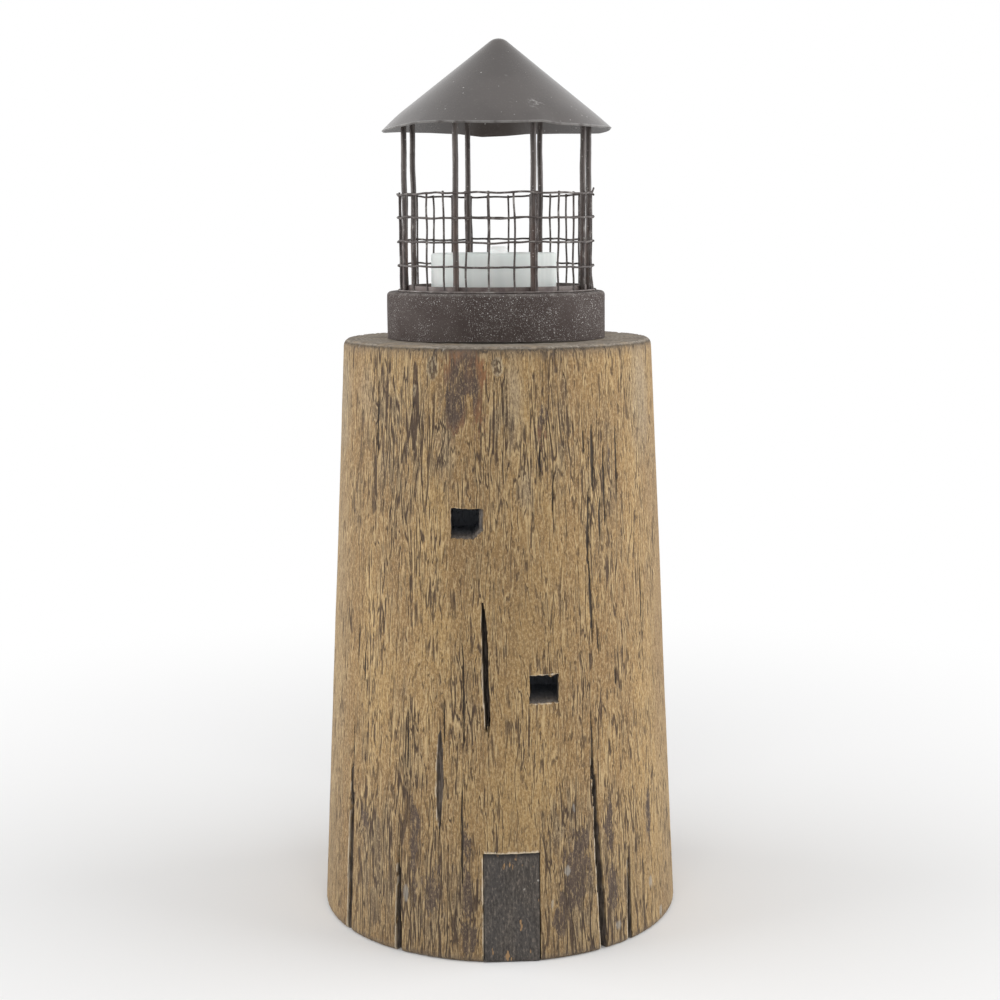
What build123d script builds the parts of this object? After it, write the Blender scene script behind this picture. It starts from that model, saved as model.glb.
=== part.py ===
from build123d import *
from math import atan2, cos, degrees, radians, sin, sqrt, tan
import os

# Lighthouse ornament: a tapered timber tower, a wire-caged lantern on top and an electric candle in it.
# Sizes are in millimetres. The origin is the centre of the foot, +Z is up and the door faces -Y.
# A bearing is an angle round the tower in degrees, counted from the front towards +X.

# Timber tower
tower_height = 318.0
tower_base_radius = 99.5
tower_top_radius = 84.0
tower_foot_round = 2.5
tower_rim_round = 4.0

# Window mortises, chiselled straight back from the front
window_depth = 34.0
upper_window_bearing = -10.3
upper_window_level = 229.3
upper_window_width = 16.2
upper_window_height = 14.4
lower_window_bearing = 14.3
lower_window_level = 144.0
lower_window_width = 14.6
lower_window_height = 13.8

# Door board, let into the foot and leaning with the tower's side
door_bearing = 3.7
door_width = 29.0
door_height = 57.8
door_thickness = 7.0
door_setback = 1.6
door_foot_gap = 0.5
door_joint_gap = 0.1

# Drying checks: bearing, lowest level, highest level, widest gap, lean in degrees
check_depth = 9.0
drying_checks = (
    (-4.2, 119.7, 188.3, 2.9, -2.0),
    (-19.0, 74.7, 118.1, 2.4, 0.0),
    (33.9, -110.0, 110.0, 4.2, -2.7),
    (-56.0, -88.7, 88.7, 4.2, 0.0),
    (-32.9, -57.4, 57.4, 3.8, 0.0),
    (44.9, -49.3, 49.3, 3.0, 0.0),
    (128.0, -120.0, 120.0, 4.0, 1.5),
    (-141.0, 140.0, 236.0, 2.8, 0.0),
    (171.0, 206.0, 300.0, 2.6, -1.0),
)

# Electric candle
candle_radius = 34.0
candle_shift = -1.8
candle_height = 45.4
candle_wall = 2.2
candle_rim_round = 1.4
candle_deck_drop = 3.0
candle_deck_thickness = 2.0
flame_offset = 2.6
flame_radius = 5.0
flame_rise = 3.5
flame_tip_round = 2.4
flame_wall = 1.3
flame_collar_width = 2.0
flame_collar_height = 1.2
flame_gap = 0.2

# Candle base, battery and switch
base_recess = 0.8
base_floor = 2.4
base_side_gap = 0.2
cell_radius = 12.25
cell_height = 5.0
cell_gap = 0.2
cap_floor = 1.8
cap_ring_wall = 1.0
cap_ring_height = 2.6
cap_side_gap = 0.2
cap_lug_reach = 1.2
cap_lug_height = 1.2
cap_lug_angle = 14.0
cap_lug_gap = 0.2
cap_turn = 25.0
cap_lug_count = 3
coin_slot_length = 14.0
coin_slot_width = 1.8
coin_slot_depth = 0.9
well_wall = 1.6
well_roof = 1.4
contact_room = 3.2
contact_sheet = 0.4
contact_width = 4.0
board_thickness = 1.2
board_edge = 1.4
led_radius = 2.5
led_flange = 0.4
led_flange_height = 1.0
led_height = 8.6
boss_radius = 2.8
boss_embed = 0.8
boss_height = 18.0
boss_count = 3
base_screw_radius = 1.0
base_screw_head_radius = 1.9
base_screw_head_height = 1.3
base_screw_length = 9.0
screw_gap = 0.05
switch_length = 9.0
switch_width = 4.4
switch_height = 4.0
switch_travel = 3.0
lever_width = 2.2
lever_engagement = 1.2
lever_gap = 0.4
knob_length = 6.0
knob_width = 3.4
slider_plate = 1.0
slider_side_gap = 0.2
slider_rest_gap = 0.3

# Lantern: hoops, posts and drum, worked out from the candle outwards
candle_side_gap = 10.0
flange_ledge = 2.5
hoop_thickness = 2.0
hoop_height = 3.2
weld_gap = 0.05
post_radius = 1.6
post_bearings = (-80.0, -25.0, 22.0, 65.0, 97.0, 151.0, -161.0, -113.0)
drum_height = 25.0
drum_ledge = 5.2
drum_edge_round = 2.2
sheet_thickness = 1.2
lantern_room_height = 86.0

# Welded wire mesh, one strip rolled round the posts
mesh_pitch = 12.7
mesh_wire_radius = 0.53
mesh_row_count = 5
mesh_lift = 0.6
mesh_tail = 1.0
mesh_stub = 3.0
mesh_upright_bearings = (
    74.0, 62.0, 50.0, 37.5, 23.5, 10.0, -4.5, -17.5, -31.5, -44.0, -57.0, -70.0, -83.0, -96.0,
    -109.0, -122.0, -137.0, -151.0, -164.0, -174.5, -187.0, -201.0, -215.0, -228.0, -241.0, -254.0, -267.0,
)

# Fixing lugs and wood screws inside the drum
lug_bearings = (60.0, 180.0, 300.0)
lug_width = 12.0
lug_thickness = 1.5
lug_leg = 12.0
lug_clearance = 2.2
lug_margin = 0.8
wood_screw_radius = 1.75
wood_screw_head_radius = 3.5
wood_screw_head_height = 2.2
wood_screw_head_round = 1.7
wood_screw_length = 24.0
wood_screw_point = 4.0

# Conical roof, loose on the posts
roof_overhang = 1.8
roof_rise = 48.3
roof_thickness = 1.0
roof_tip_round = 6.7
roof_seat_gap = 0.3
roof_lap_angle = 7.0
roof_lap_start = 12.0

# Allowance by which a cutter passes the face that it opens
cut_margin = 6.0

# Levels
candle_foot = tower_height
drum_top = tower_height + drum_height
candle_rim = candle_foot + candle_height
deck_top = candle_rim - candle_deck_drop
deck_under = deck_top - candle_deck_thickness
base_under = candle_foot + base_recess
base_top = base_under + base_floor
cell_under = base_under + cap_floor + cell_gap
cell_top = cell_under + cell_height
well_under = cell_top + contact_room
board_under = well_under + well_roof
board_top = board_under + board_thickness
rim_level = drum_top + lantern_room_height

# Radii, from the candle outwards
candle_bore = candle_radius - candle_wall
base_radius = candle_bore - base_side_gap
boss_circle = candle_bore - boss_radius + boss_embed
cap_ring_inner = cell_radius + cell_gap
cap_radius = cap_ring_inner + cap_ring_wall
cap_hole_radius = cap_radius + cap_side_gap
cap_lug_radius = cap_hole_radius + cap_lug_reach
well_inner = cap_lug_radius + cap_side_gap
well_outer = well_inner + well_wall
switch_circle = well_outer + slider_side_gap + lever_gap + switch_width / 2
board_radius = switch_circle + switch_width / 2 + board_edge
flange_inner = candle_radius + candle_side_gap
hoop_inner = flange_inner + flange_ledge
hoop_outer = hoop_inner + hoop_thickness
post_circle = hoop_outer + weld_gap + post_radius
mesh_upright_circle = post_circle + post_radius + weld_gap + mesh_wire_radius
mesh_row_circle = mesh_upright_circle + 2 * mesh_wire_radius + weld_gap
drum_radius = mesh_row_circle + mesh_wire_radius + drum_ledge
roof_rim_radius = drum_radius + roof_overhang
lug_inner = candle_radius + lug_clearance
lug_screw_circle = lug_inner + lug_margin + wood_screw_head_radius

# Roof slope, and the level of the roof's underside at a radius
roof_slope = atan2(roof_rise, roof_rim_radius)


def roof_underside(radius):
    return rim_level + (roof_rim_radius - radius) * tan(roof_slope)


def tower_radius(level):
    return tower_base_radius + (tower_top_radius - tower_base_radius) * level / tower_height


def turned(shape, bearing):
    """Turn a shape modelled at the front to a bearing."""
    return Rot(0, 0, bearing) * shape


def rod(radius, low, high):
    return Pos(0, 0, low) * Cylinder(radius, high - low, align=(Align.CENTER, Align.CENTER, Align.MIN))


def tube(inner, outer, low, high):
    return rod(outer, low, high) - rod(inner, low, high)


def block(width, depth, low, high):
    return Pos(0, 0, low) * Box(width, depth, high - low, align=(Align.CENTER, Align.CENTER, Align.MIN))


def round_pattern(shape, count, first=0.0):
    return [turned(shape, first + 360.0 * index / count) for index in range(count)]


# Timber tower
def window_mortise(bearing, level, width, height):
    surface = tower_radius(level)
    across = surface * sin(radians(bearing))
    mouth = surface * cos(radians(bearing))
    back = cut_margin + window_depth
    cutter = Box(width, back, height, align=(Align.CENTER, Align.MIN, Align.CENTER))
    return Pos(across, -mouth - cut_margin, level) * cutter


def drying_check(bearing, low, high, width, lean):
    middle = (low + high) / 2
    mouth = [
        ThreePointArc((0, low), (width / 2, middle), (0, high)),
        ThreePointArc((0, high), (-width / 2, middle), (0, low)),
    ]
    outer = tower_base_radius + cut_margin
    floor = tower_radius(max(middle, 0.0)) - check_depth
    cutter = Pos(0, -floor, 0) * extrude(Plane.XZ * make_face(mouth), outer - floor)
    leaning = Pos(0, 0, middle) * Rot(0, lean, 0) * Pos(0, 0, -middle) * cutter
    return turned(leaning, bearing)


def door_side_view(front, back, low, high):
    """Side outline of a leaning board: front and back are its setbacks from the tower's side."""
    outline = Polygon(
        (front - tower_radius(low), low),
        (front - tower_radius(high), high),
        (back - tower_radius(high), high),
        (back - tower_radius(low), low),
        align=None,
    )
    return Plane.YZ * outline


def door_board():
    outline = door_side_view(door_setback, door_setback + door_thickness, door_foot_gap, door_height)
    return turned(extrude(outline, door_width / 2, both=True), door_bearing)


def door_recess():
    back = door_setback + door_thickness + door_joint_gap
    outline = door_side_view(-cut_margin, back, -cut_margin, door_height + door_joint_gap)
    return turned(extrude(outline, door_width / 2 + door_joint_gap, both=True), door_bearing)


def wood_screw_hole():
    depth = wood_screw_length - lug_thickness + screw_gap
    hole = rod(wood_screw_radius + screw_gap, tower_height - depth, tower_height)
    return Pos(0, -lug_screw_circle, 0) * hole


def timber_tower():
    section = Polygon(
        (0, 0),
        (tower_base_radius, 0),
        (tower_top_radius, tower_height),
        (0, tower_height),
        align=None,
    )
    foot = section.vertices().sort_by(Axis.Y)[:2].sort_by(Axis.X)[-1]
    section = fillet(foot, tower_foot_round)
    rim = section.vertices().sort_by(Axis.Y)[-2:].sort_by(Axis.X)[-1]
    section = fillet(rim, tower_rim_round)
    tower = revolve(Plane.XZ * section, Axis.Z)
    tower -= window_mortise(
        upper_window_bearing, upper_window_level, upper_window_width, upper_window_height
    )
    tower -= window_mortise(
        lower_window_bearing, lower_window_level, lower_window_width, lower_window_height
    )
    tower -= door_recess()
    for check in drying_checks:
        tower -= drying_check(*check)
    for bearing in lug_bearings:
        tower -= turned(wood_screw_hole(), bearing)
    return tower


# Lantern drum, its lugs and screws
def lantern_drum():
    inner = drum_radius - sheet_thickness
    under = drum_top - sheet_thickness
    section = Polygon(
        (inner, tower_height),
        (drum_radius, tower_height),
        (drum_radius, drum_top),
        (flange_inner, drum_top),
        (flange_inner, under),
        (inner, under),
        align=None,
    )
    outer_corner = section.vertices().sort_by(Axis.Y)[-2:].sort_by(Axis.X)[-1]
    section = fillet(outer_corner, drum_edge_round)
    return revolve(Plane.XZ * section, Axis.Z)


def fixing_lug():
    half = lug_width / 2
    wall = sqrt((drum_radius - sheet_thickness) ** 2 - half ** 2) - weld_gap
    outline = Polygon(
        (-lug_inner, tower_height),
        (-wall, tower_height),
        (-wall, tower_height + lug_leg),
        (lug_thickness - wall, tower_height + lug_leg),
        (lug_thickness - wall, tower_height + lug_thickness),
        (-lug_inner, tower_height + lug_thickness),
        align=None,
    )
    strip = extrude(Plane.YZ * outline, half, both=True)
    hole = rod(wood_screw_radius + screw_gap, tower_height, tower_height + lug_thickness)
    return strip - Pos(0, -lug_screw_circle, 0) * hole


def wood_screw():
    seat = tower_height + lug_thickness
    tip = seat - wood_screw_length
    head = rod(wood_screw_head_radius, seat, seat + wood_screw_head_height)
    head = fillet(head.edges().group_by(Axis.Z)[-1], wood_screw_head_round)
    outline = Polygon(
        (0, seat),
        (0, tip),
        (wood_screw_radius, tip + wood_screw_point),
        (wood_screw_radius, seat),
        align=None,
    )
    shank = revolve(Plane.XZ * outline, Axis.Z)
    return Pos(0, -lug_screw_circle, 0) * (head + shank)


# Posts and hoops
def hoop(low):
    return tube(hoop_inner, hoop_outer, low, low + hoop_height)


def lantern_post(bearing):
    top = roof_underside(post_circle + post_radius) - roof_seat_gap
    return turned(Pos(0, -post_circle, 0) * rod(post_radius, drum_top, top), bearing)


# Wire mesh
mesh_bottom = drum_top + mesh_lift
mesh_top = mesh_bottom + (mesh_row_count - 1) * mesh_pitch


def mesh_row(level):
    first = mesh_upright_bearings[-1] - mesh_stub
    reach = mesh_upright_bearings[0] + mesh_stub - first
    section = Plane.YZ * Pos(-mesh_row_circle, level) * Circle(mesh_wire_radius)
    return turned(revolve(section, Axis.Z, reach), first)


def mesh_upright(bearing):
    wire = rod(mesh_wire_radius, drum_top + weld_gap, mesh_top + mesh_tail)
    return turned(Pos(0, -mesh_upright_circle, 0) * wire, bearing)


# Roof
def roof_sheet(inside, outside, reach):
    """Part of the roof's sheet between two offsets from its underside, over an arc behind the tower."""
    tip = roof_tip_round
    slope_start = roof_rim_radius - tip * sin(roof_slope)
    tip_level = rim_level + slope_start * tan(roof_slope) - tip * cos(roof_slope)
    slant = (sin(roof_slope), cos(roof_slope))

    def on_arc(offset):
        return ((tip + offset) * slant[0], tip_level + (tip + offset) * slant[1])

    def on_rim(offset):
        return (roof_rim_radius + offset * slant[0], rim_level + offset * slant[1])

    arc_start = 90.0 - degrees(roof_slope)
    outline = [
        CenterArc((0, tip_level), tip + outside, arc_start, degrees(roof_slope)),
        Polyline(on_arc(outside), on_rim(outside), on_rim(inside), on_arc(inside)),
        CenterArc((0, tip_level), tip + inside, arc_start, degrees(roof_slope)),
        Line((0, tip_level + tip + inside), (0, tip_level + tip + outside)),
    ]
    sheet = revolve(Plane.XZ * make_face(outline), Axis.Z, reach)
    return Rot(0, 0, 90.0 - reach / 2) * sheet


def conical_roof():
    cone = roof_sheet(0.0, roof_thickness, 360.0)
    lap = roof_sheet(roof_thickness, 2 * roof_thickness, roof_lap_angle)
    return cone + (lap - rod(roof_lap_start, rim_level, rim_level + 2 * roof_rise))


# Electric candle
def boss_places(shape):
    return round_pattern(Pos(0, -boss_circle, 0) * shape, boss_count)


def candle_housing():
    section = Polygon(
        (candle_bore, candle_foot),
        (candle_radius, candle_foot),
        (candle_radius, candle_rim),
        (candle_bore, candle_rim),
        (candle_bore, deck_top),
        (0, deck_top),
        (0, deck_under),
        (candle_bore, deck_under),
        align=None,
    )
    rim = section.vertices().sort_by(Axis.Y)[-2:].sort_by(Axis.X)[-1]
    section = fillet(rim, candle_rim_round)
    housing = revolve(Plane.XZ * section, Axis.Z)
    housing -= Pos(flame_offset, 0, 0) * rod(flame_radius + flame_gap, deck_under, deck_top)
    column = rod(boss_radius, base_top, base_top + boss_height)
    within = rod(candle_radius - candle_wall / 2, base_top, base_top + boss_height)
    for boss in boss_places(column):
        housing += boss & within
    pilot = rod(base_screw_radius + screw_gap, base_top, base_under + base_screw_length + screw_gap)
    for hole in boss_places(pilot):
        housing -= hole
    return housing


def flame_guide():
    """Flame nub above the deck, off the candle's axis, with its hollow light guide and collar below."""
    top = candle_rim + flame_rise
    bore = flame_radius - flame_wall
    guide = rod(flame_radius, board_top, top)
    guide = fillet(guide.edges().group_by(Axis.Z)[-1], flame_tip_round)
    guide -= rod(bore, board_top, deck_top)
    collar_low = deck_under - flame_gap - flame_collar_height
    collar = tube(bore, flame_radius + flame_collar_width, collar_low, collar_low + flame_collar_height)
    return Pos(flame_offset, 0, 0) * (guide + collar)


def candle_light():
    flange = rod(led_radius + led_flange, board_top, board_top + led_flange_height)
    body = rod(led_radius, board_top, board_top + led_height - led_radius)
    dome = Pos(0, 0, board_top + led_height - led_radius) * Sphere(led_radius)
    return Pos(flame_offset, 0, 0) * (flange + body + dome)


def circuit_board():
    board = rod(board_radius, board_under, board_top)
    for notch in boss_places(rod(boss_radius + base_side_gap, board_under, board_top)):
        board -= notch
    return board


def battery_base():
    floor = rod(base_radius, base_under, base_top)
    well = tube(well_inner, well_outer, base_top, well_under)
    lid = rod(well_outer, well_under, board_under)
    base = floor + well + lid
    base -= rod(cap_hole_radius, base_under, base_top)
    half_notch = radians(cap_lug_angle / 2) * cap_lug_radius + 2 * cap_side_gap
    reach = cap_lug_radius + cap_side_gap
    notch = Pos(0, -reach / 2, 0) * block(2 * half_notch, reach, base_under, base_top)
    for cut in round_pattern(notch, cap_lug_count, cap_turn):
        base -= cut & rod(reach, base_under, base_top)
    slot_length = knob_length + switch_travel + 2 * slider_side_gap
    knob_slot = block(slot_length, knob_width + 2 * slider_side_gap, base_under, base_top)
    base -= Pos(0, switch_circle, 0) * knob_slot
    head = rod(base_screw_head_radius + base_side_gap, base_under, base_under + base_screw_head_height)
    shank = rod(base_screw_radius + screw_gap, base_under, base_top)
    for hole in boss_places(head + shank):
        base -= hole
    for slot in contact_slots():
        base -= slot
    return base


def base_screw():
    head = rod(base_screw_head_radius, base_under, base_under + base_screw_head_height)
    return head + rod(base_screw_radius, base_under, base_under + base_screw_length)


def turn_cap():
    top = base_under + cap_floor
    cap = rod(cap_radius, base_under, top)
    cap += tube(cap_ring_inner, cap_radius, top, top + cap_ring_height)
    low = base_top + cap_lug_gap
    sector = tube(cap_ring_inner, cap_lug_radius, low, low + cap_lug_height)
    half_lug = radians(cap_lug_angle / 2) * cap_lug_radius
    keep = Pos(0, -cap_lug_radius / 2, 0) * block(2 * half_lug, cap_lug_radius, low, low + cap_lug_height)
    for lug in round_pattern(sector & keep, cap_lug_count):
        cap += lug
    return cap - block(coin_slot_length, coin_slot_width, base_under, base_under + coin_slot_depth)


def coin_cell():
    return rod(cell_radius, cell_under, cell_top)


def contact_strip(points):
    """A bent strip of spring sheet through the given points of its lower or outer side."""
    return extrude(Plane.XZ * Polygon(*points, align=None), contact_width / 2, both=True)


def side_contact():
    """Strip that hangs from the well's lid, bears on the cell's side and passes up to the board."""
    inside = cell_radius + cell_gap / 2
    tail = inside + contact_sheet
    low = cell_under + cap_ring_height + cell_gap
    return contact_strip([(inside, low), (tail, low), (tail, board_under), (inside, board_under)])


def top_contact():
    """Strip that hangs from the well's lid and bears on the top of the cell."""
    foot = cell_radius / 2
    low = cell_top
    return contact_strip([
        (0, low),
        (foot, low),
        (foot, low + contact_sheet),
        (contact_sheet, low + contact_sheet),
        (contact_sheet, board_under),
        (0, board_under),
    ])


def contact_slots():
    """Slots in the well's lid for the two contact strips."""
    side = cell_radius + cell_gap / 2 + contact_sheet / 2
    slot = block(contact_sheet + 2 * screw_gap, contact_width + 2 * screw_gap, well_under, board_under)
    return [Pos(side, 0, 0) * slot, Pos(contact_sheet / 2, 0, 0) * slot]


def switch_housing():
    low = board_under - switch_height
    housing = block(switch_length, switch_width, low, board_under)
    room = lever_width + switch_travel + 2 * lever_gap
    depth = lever_engagement + lever_gap
    housing -= block(room, lever_width + 2 * lever_gap, low, low + depth)
    return Pos(0, switch_circle, 0) * housing


def slide_lever():
    plate_low = base_top + slider_rest_gap
    plate_length = knob_length + 2 * switch_travel + 4 * slider_side_gap
    knob = block(knob_length, knob_width, base_under + slider_side_gap, plate_low)
    plate = block(plate_length, switch_width, plate_low, plate_low + slider_plate)
    lever = block(lever_width, lever_width, plate_low, board_under - switch_height + lever_engagement)
    return Pos(-switch_travel / 2, switch_circle, 0) * (knob + plate + lever)


# Every piece by its node's name
nodes = {
    "tower_log": [timber_tower()],
    "door_panel": [door_board()],
    "lantern_base": [lantern_drum()],
    "base_lugs": [turned(fixing_lug(), bearing) for bearing in lug_bearings],
    "lug_screws": [turned(wood_screw(), bearing) for bearing in lug_bearings],
    "lower_hoop": [hoop(drum_top)],
    "upper_hoop": [hoop(roof_underside(hoop_outer) - roof_seat_gap - hoop_height)],
    "mesh_upright_wires": [mesh_upright(bearing) for bearing in mesh_upright_bearings],
    "roof": [conical_roof()],
}
candle_nodes = {
    "candle_shell": [candle_housing()],
    "candle_flame": [flame_guide()],
    "candle_led": [candle_light()],
    "candle_board": [circuit_board()],
    "candle_base": [battery_base()],
    "candle_base_screws": boss_places(base_screw()),
    "candle_cell": [coin_cell()],
    "contact_positive": [side_contact()],
    "contact_negative": [top_contact()],
    "battery_cap": [turn_cap()],
    "switch_body": [switch_housing()],
    "switch_slider": [slide_lever()],
}
for name, pieces in candle_nodes.items():
    nodes[name] = [Pos(candle_shift, 0, 0) * piece for piece in pieces]
for index, bearing in enumerate(post_bearings):
    nodes[f"post_{index + 1}"] = [lantern_post(bearing)]
for index in range(mesh_row_count):
    nodes[f"mesh_row_{index + 1}"] = [mesh_row(mesh_bottom + index * mesh_pitch)]

os.makedirs("parts", exist_ok=True)
for name, pieces in nodes.items():
    solids = [solid for piece in pieces for solid in piece.solids()]
    shape = solids[0] if len(solids) == 1 else Compound(children=solids)
    shape.label = name
    export_step(shape, f"parts/{name}.step")
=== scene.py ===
# %% [markdown]
# # A garden lighthouse
# This lesson dresses a garden lighthouse that stands about as high as a forearm: a turned log
# for the tower, a tin lantern in a wire cage on top of it, and an electric candle inside.
# The frame already holds every part at its real size, so the work here is to add what a lathe
# and a brush leave behind: grain, drying cracks, dents, dust and worn paint. Blender seeds its
# vector noise from the clock unless it is given a number, so it gets one before anything else.

import math

import bmesh
import bpy
import numpy as np
from mathutils import Matrix, Vector, noise


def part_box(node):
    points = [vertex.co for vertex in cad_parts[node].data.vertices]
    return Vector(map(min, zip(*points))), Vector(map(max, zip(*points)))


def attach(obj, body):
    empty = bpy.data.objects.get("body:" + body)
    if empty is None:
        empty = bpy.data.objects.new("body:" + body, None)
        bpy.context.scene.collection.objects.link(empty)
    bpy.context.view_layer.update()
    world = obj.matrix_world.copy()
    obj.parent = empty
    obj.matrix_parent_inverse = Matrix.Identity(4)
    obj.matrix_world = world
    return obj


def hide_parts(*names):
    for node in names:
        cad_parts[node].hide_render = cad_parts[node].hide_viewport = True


noise_seed = 5
noise.seed_set(noise_seed)
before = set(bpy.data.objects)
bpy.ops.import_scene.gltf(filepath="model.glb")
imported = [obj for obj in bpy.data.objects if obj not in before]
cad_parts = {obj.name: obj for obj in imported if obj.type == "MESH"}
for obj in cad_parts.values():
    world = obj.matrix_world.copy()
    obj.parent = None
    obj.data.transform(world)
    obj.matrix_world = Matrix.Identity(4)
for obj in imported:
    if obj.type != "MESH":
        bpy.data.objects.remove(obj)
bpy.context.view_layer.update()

# %% [markdown]
# ## Sizes and places
# Blender works in metres, and the parts of the lighthouse are easier to think of in
# millimetres, so sizes below are written as a number times `MM`. Almost everything sits round
# one upright axis, so places are given as a bearing: 0 degrees is the front, where the door is,
# and 90 degrees is the viewer's right.

# %% Sizes and places
MM = 0.001
tower_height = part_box("tower_log")[1].z
base_radius = 99.5 * MM
top_radius = 84.0 * MM


def tower_radius(level):
    """Radius of the tower's side at a level, which narrows evenly from the foot to the top."""
    return base_radius + (top_radius - base_radius) * level / tower_height


def on_bearing(bearing, radius, level):
    """The place at a bearing in degrees, a distance from the axis and a level."""
    angle = math.radians(bearing)
    return Vector((radius * math.sin(angle), -radius * math.cos(angle), level))


def lumps(x, y, z=0.0):
    """Smooth noise from about -1 to 1 for whole arrays of places, one unit to a lump."""
    x, y, z = np.broadcast_arrays(x, y, z)
    places = np.stack([x.ravel(), y.ravel(), z.ravel()], axis=1).tolist()
    return np.array([noise.noise(place) for place in places]).reshape(x.shape)


print("tower", round(tower_height / MM), "mm high")

# %% [markdown]
# ## A small language for materials
# Every surface here is worn, and wear is a sum of many noises. Adding those node by node makes
# long code, so one class stands for a number that flows between nodes and can be used in plain
# sums, and another stands for the material that is being made. Its one `node` method makes any
# node: the settings go first, because they decide which sockets there are, and the sockets
# after. A material keeps the colour it has so far, and `coat` lays another tone over it.

# %% A small language for materials
class Flow:
    """A value on its way between two nodes."""

    def __init__(self, finish, socket):
        self.finish = finish
        self.socket = socket

    def maths(self, operation, *values):
        settings = {"operation": operation}
        return self.finish.node("ShaderNodeMath", settings, dict(enumerate(values)))

    def __add__(self, other):
        return self.maths("ADD", self, other)

    def __sub__(self, other):
        return self.maths("SUBTRACT", self, other)

    def __rsub__(self, other):
        return self.maths("SUBTRACT", other, self)

    def __mul__(self, other):
        return self.maths("MULTIPLY", self, other)

    __radd__ = __add__
    __rmul__ = __mul__

    def most(self, other):
        return self.maths("MAXIMUM", self, other)

    def wave(self):
        return self.maths("SINE", self)

    def rise(self, low, high):
        """0 below the low value, 1 above the high one and a soft step between."""
        limits = {"Value": self, "From Min": low, "From Max": high}
        return self.finish.node("ShaderNodeMapRange", {"interpolation_type": "SMOOTHSTEP"}, limits)


class Finish:
    """A material that is being put together, with the colour that it has so far."""

    def __init__(self, name, **constants):
        self.material = bpy.data.materials.new(name)
        self.material.use_nodes = True
        self.tree = self.material.node_tree
        self.shader = self.tree.nodes["Principled BSDF"]
        self.wear(**constants)
        self.place = self.node("ShaderNodeTexCoord", {}, {}, "Object")

    def node(self, kind, settings, sockets, output=0):
        made = self.tree.nodes.new(kind)
        for name, value in settings.items():
            setattr(made, name, value)
        for name, value in sockets.items():
            self.join(made.inputs[name], value)
        return Flow(self, made.outputs[output])

    def join(self, socket, value):
        if isinstance(value, Flow):
            self.tree.links.new(value.socket, socket)
        else:
            socket.default_value = value

    def wear(self, **sockets):
        """Join values to the sockets of the shader, such as base_color or roughness."""
        for name, value in sockets.items():
            label = name.replace("_", " ").title().replace("Ior", "IOR")
            self.join(self.shader.inputs[label], value)

    def stretch(self, x, y, z, where=None):
        sockets = {"Vector": where or self.place, "Scale": (x, y, z)}
        return self.node("ShaderNodeMapping", {}, sockets)

    def noise(self, size, detail=2.0, roughness=0.5, up=1, where=None):
        """Noise from 0 to 1 in lumps as wide as the size, drawn out upwards by an up below 1."""
        if up != 1:
            where = self.stretch(1, 1, up, where)
        sockets = {"Vector": where or self.place, "Scale": 1 / size}
        sockets |= {"Detail": detail, "Roughness": roughness}
        return self.node("ShaderNodeTexNoise", {}, sockets)

    def attribute(self, name):
        return self.node("ShaderNodeAttribute", {"attribute_name": name}, {}, "Fac")

    def level(self):
        return self.node("ShaderNodeSeparateXYZ", {}, {0: self.place}, "Z")

    def far(self, where):
        return self.node("ShaderNodeVectorMath", {"operation": "LENGTH"}, {0: where}, "Value")

    def blend(self, share, first, second):
        sockets = {0: share, 6: (*first, 1) if isinstance(first, tuple) else first}
        sockets[7] = (*second, 1) if isinstance(second, tuple) else second
        return self.node("ShaderNodeMix", {"data_type": "RGBA"}, sockets, 2)

    def coat(self, share, tone):
        """Lay a tone over the colour so far, as thick as the share says."""
        self.colour = self.blend(share, self.colour, tone)

    def seal(self, roughness, height, distance, strength):
        """Join the colour, a roughness and a bump made from a height to the shader."""
        sockets = {"Height": height, "Distance": distance, "Strength": strength}
        bump = self.node("ShaderNodeBump", {}, sockets)
        self.wear(base_color=self.colour, roughness=roughness, normal=bump)
        return self


print("materials are made with", Finish.__name__, "and", Flow.__name__)

# %% [markdown]
# ## From mesh to piece
# Each part ends in the same way: its mesh becomes an object, gets its material and shading,
# and is tied to an empty for the body it moves with, while the CAD parts that it stands for
# are hidden.

# %% From mesh to piece
weld = 1e-7


def piece(name, bm, finish, body, slot, *nodes, crease=40):
    mesh = bpy.data.meshes.new(name)
    bm.to_mesh(mesh)
    bm.free()
    mesh.shade_smooth()
    mesh.set_sharp_from_angle(angle=math.radians(crease))
    mesh.materials.append(finish.material)
    made = bpy.data.objects.new(name, mesh)
    bpy.context.scene.collection.objects.link(made)
    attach(made, body)
    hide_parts(*nodes)
    print(name, len(mesh.polygons), "faces")
    return made


def spin_outline(outline, steps, first=0.0, reach=360.0, closed=False):
    """A bmesh turned from an outline of (radius, level) points."""
    bm = bmesh.new()
    verts = [bm.verts.new(on_bearing(first, radius, level)) for radius, level in outline]
    edges = [bm.edges.new(pair) for pair in zip(verts, verts[1:])]
    if closed:
        edges.append(bm.edges.new((verts[-1], verts[0])))
    bmesh.ops.spin(
        bm, geom=verts + edges, cent=(0, 0, 0), axis=(0, 0, 1), angle=math.radians(reach),
        steps=steps, use_merge=reach == 360.0,
    )
    bmesh.ops.remove_doubles(bm, verts=bm.verts, dist=weld)
    bmesh.ops.recalc_face_normals(bm, faces=bm.faces)
    return bm


def arc_points(centre, level, radius, first, last, count):
    """Points of an outline along an arc, from one angle in degrees to another."""
    angles = np.radians(np.linspace(first, last, count))
    return [(centre + radius * np.cos(a), level + radius * np.sin(a)) for a in angles]


print("outlines can be turned")

# %% [markdown]
# ## The log
# The tower is one length of round timber, turned to a slight taper and then left outdoors. An
# outline spun round the axis is the natural start. The spin leaves evenly spaced columns of
# vertices, which are then drawn together at the front and round each drying check, the cracks
# that open as a log dries, so that the detail sits where it is looked at.

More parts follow.
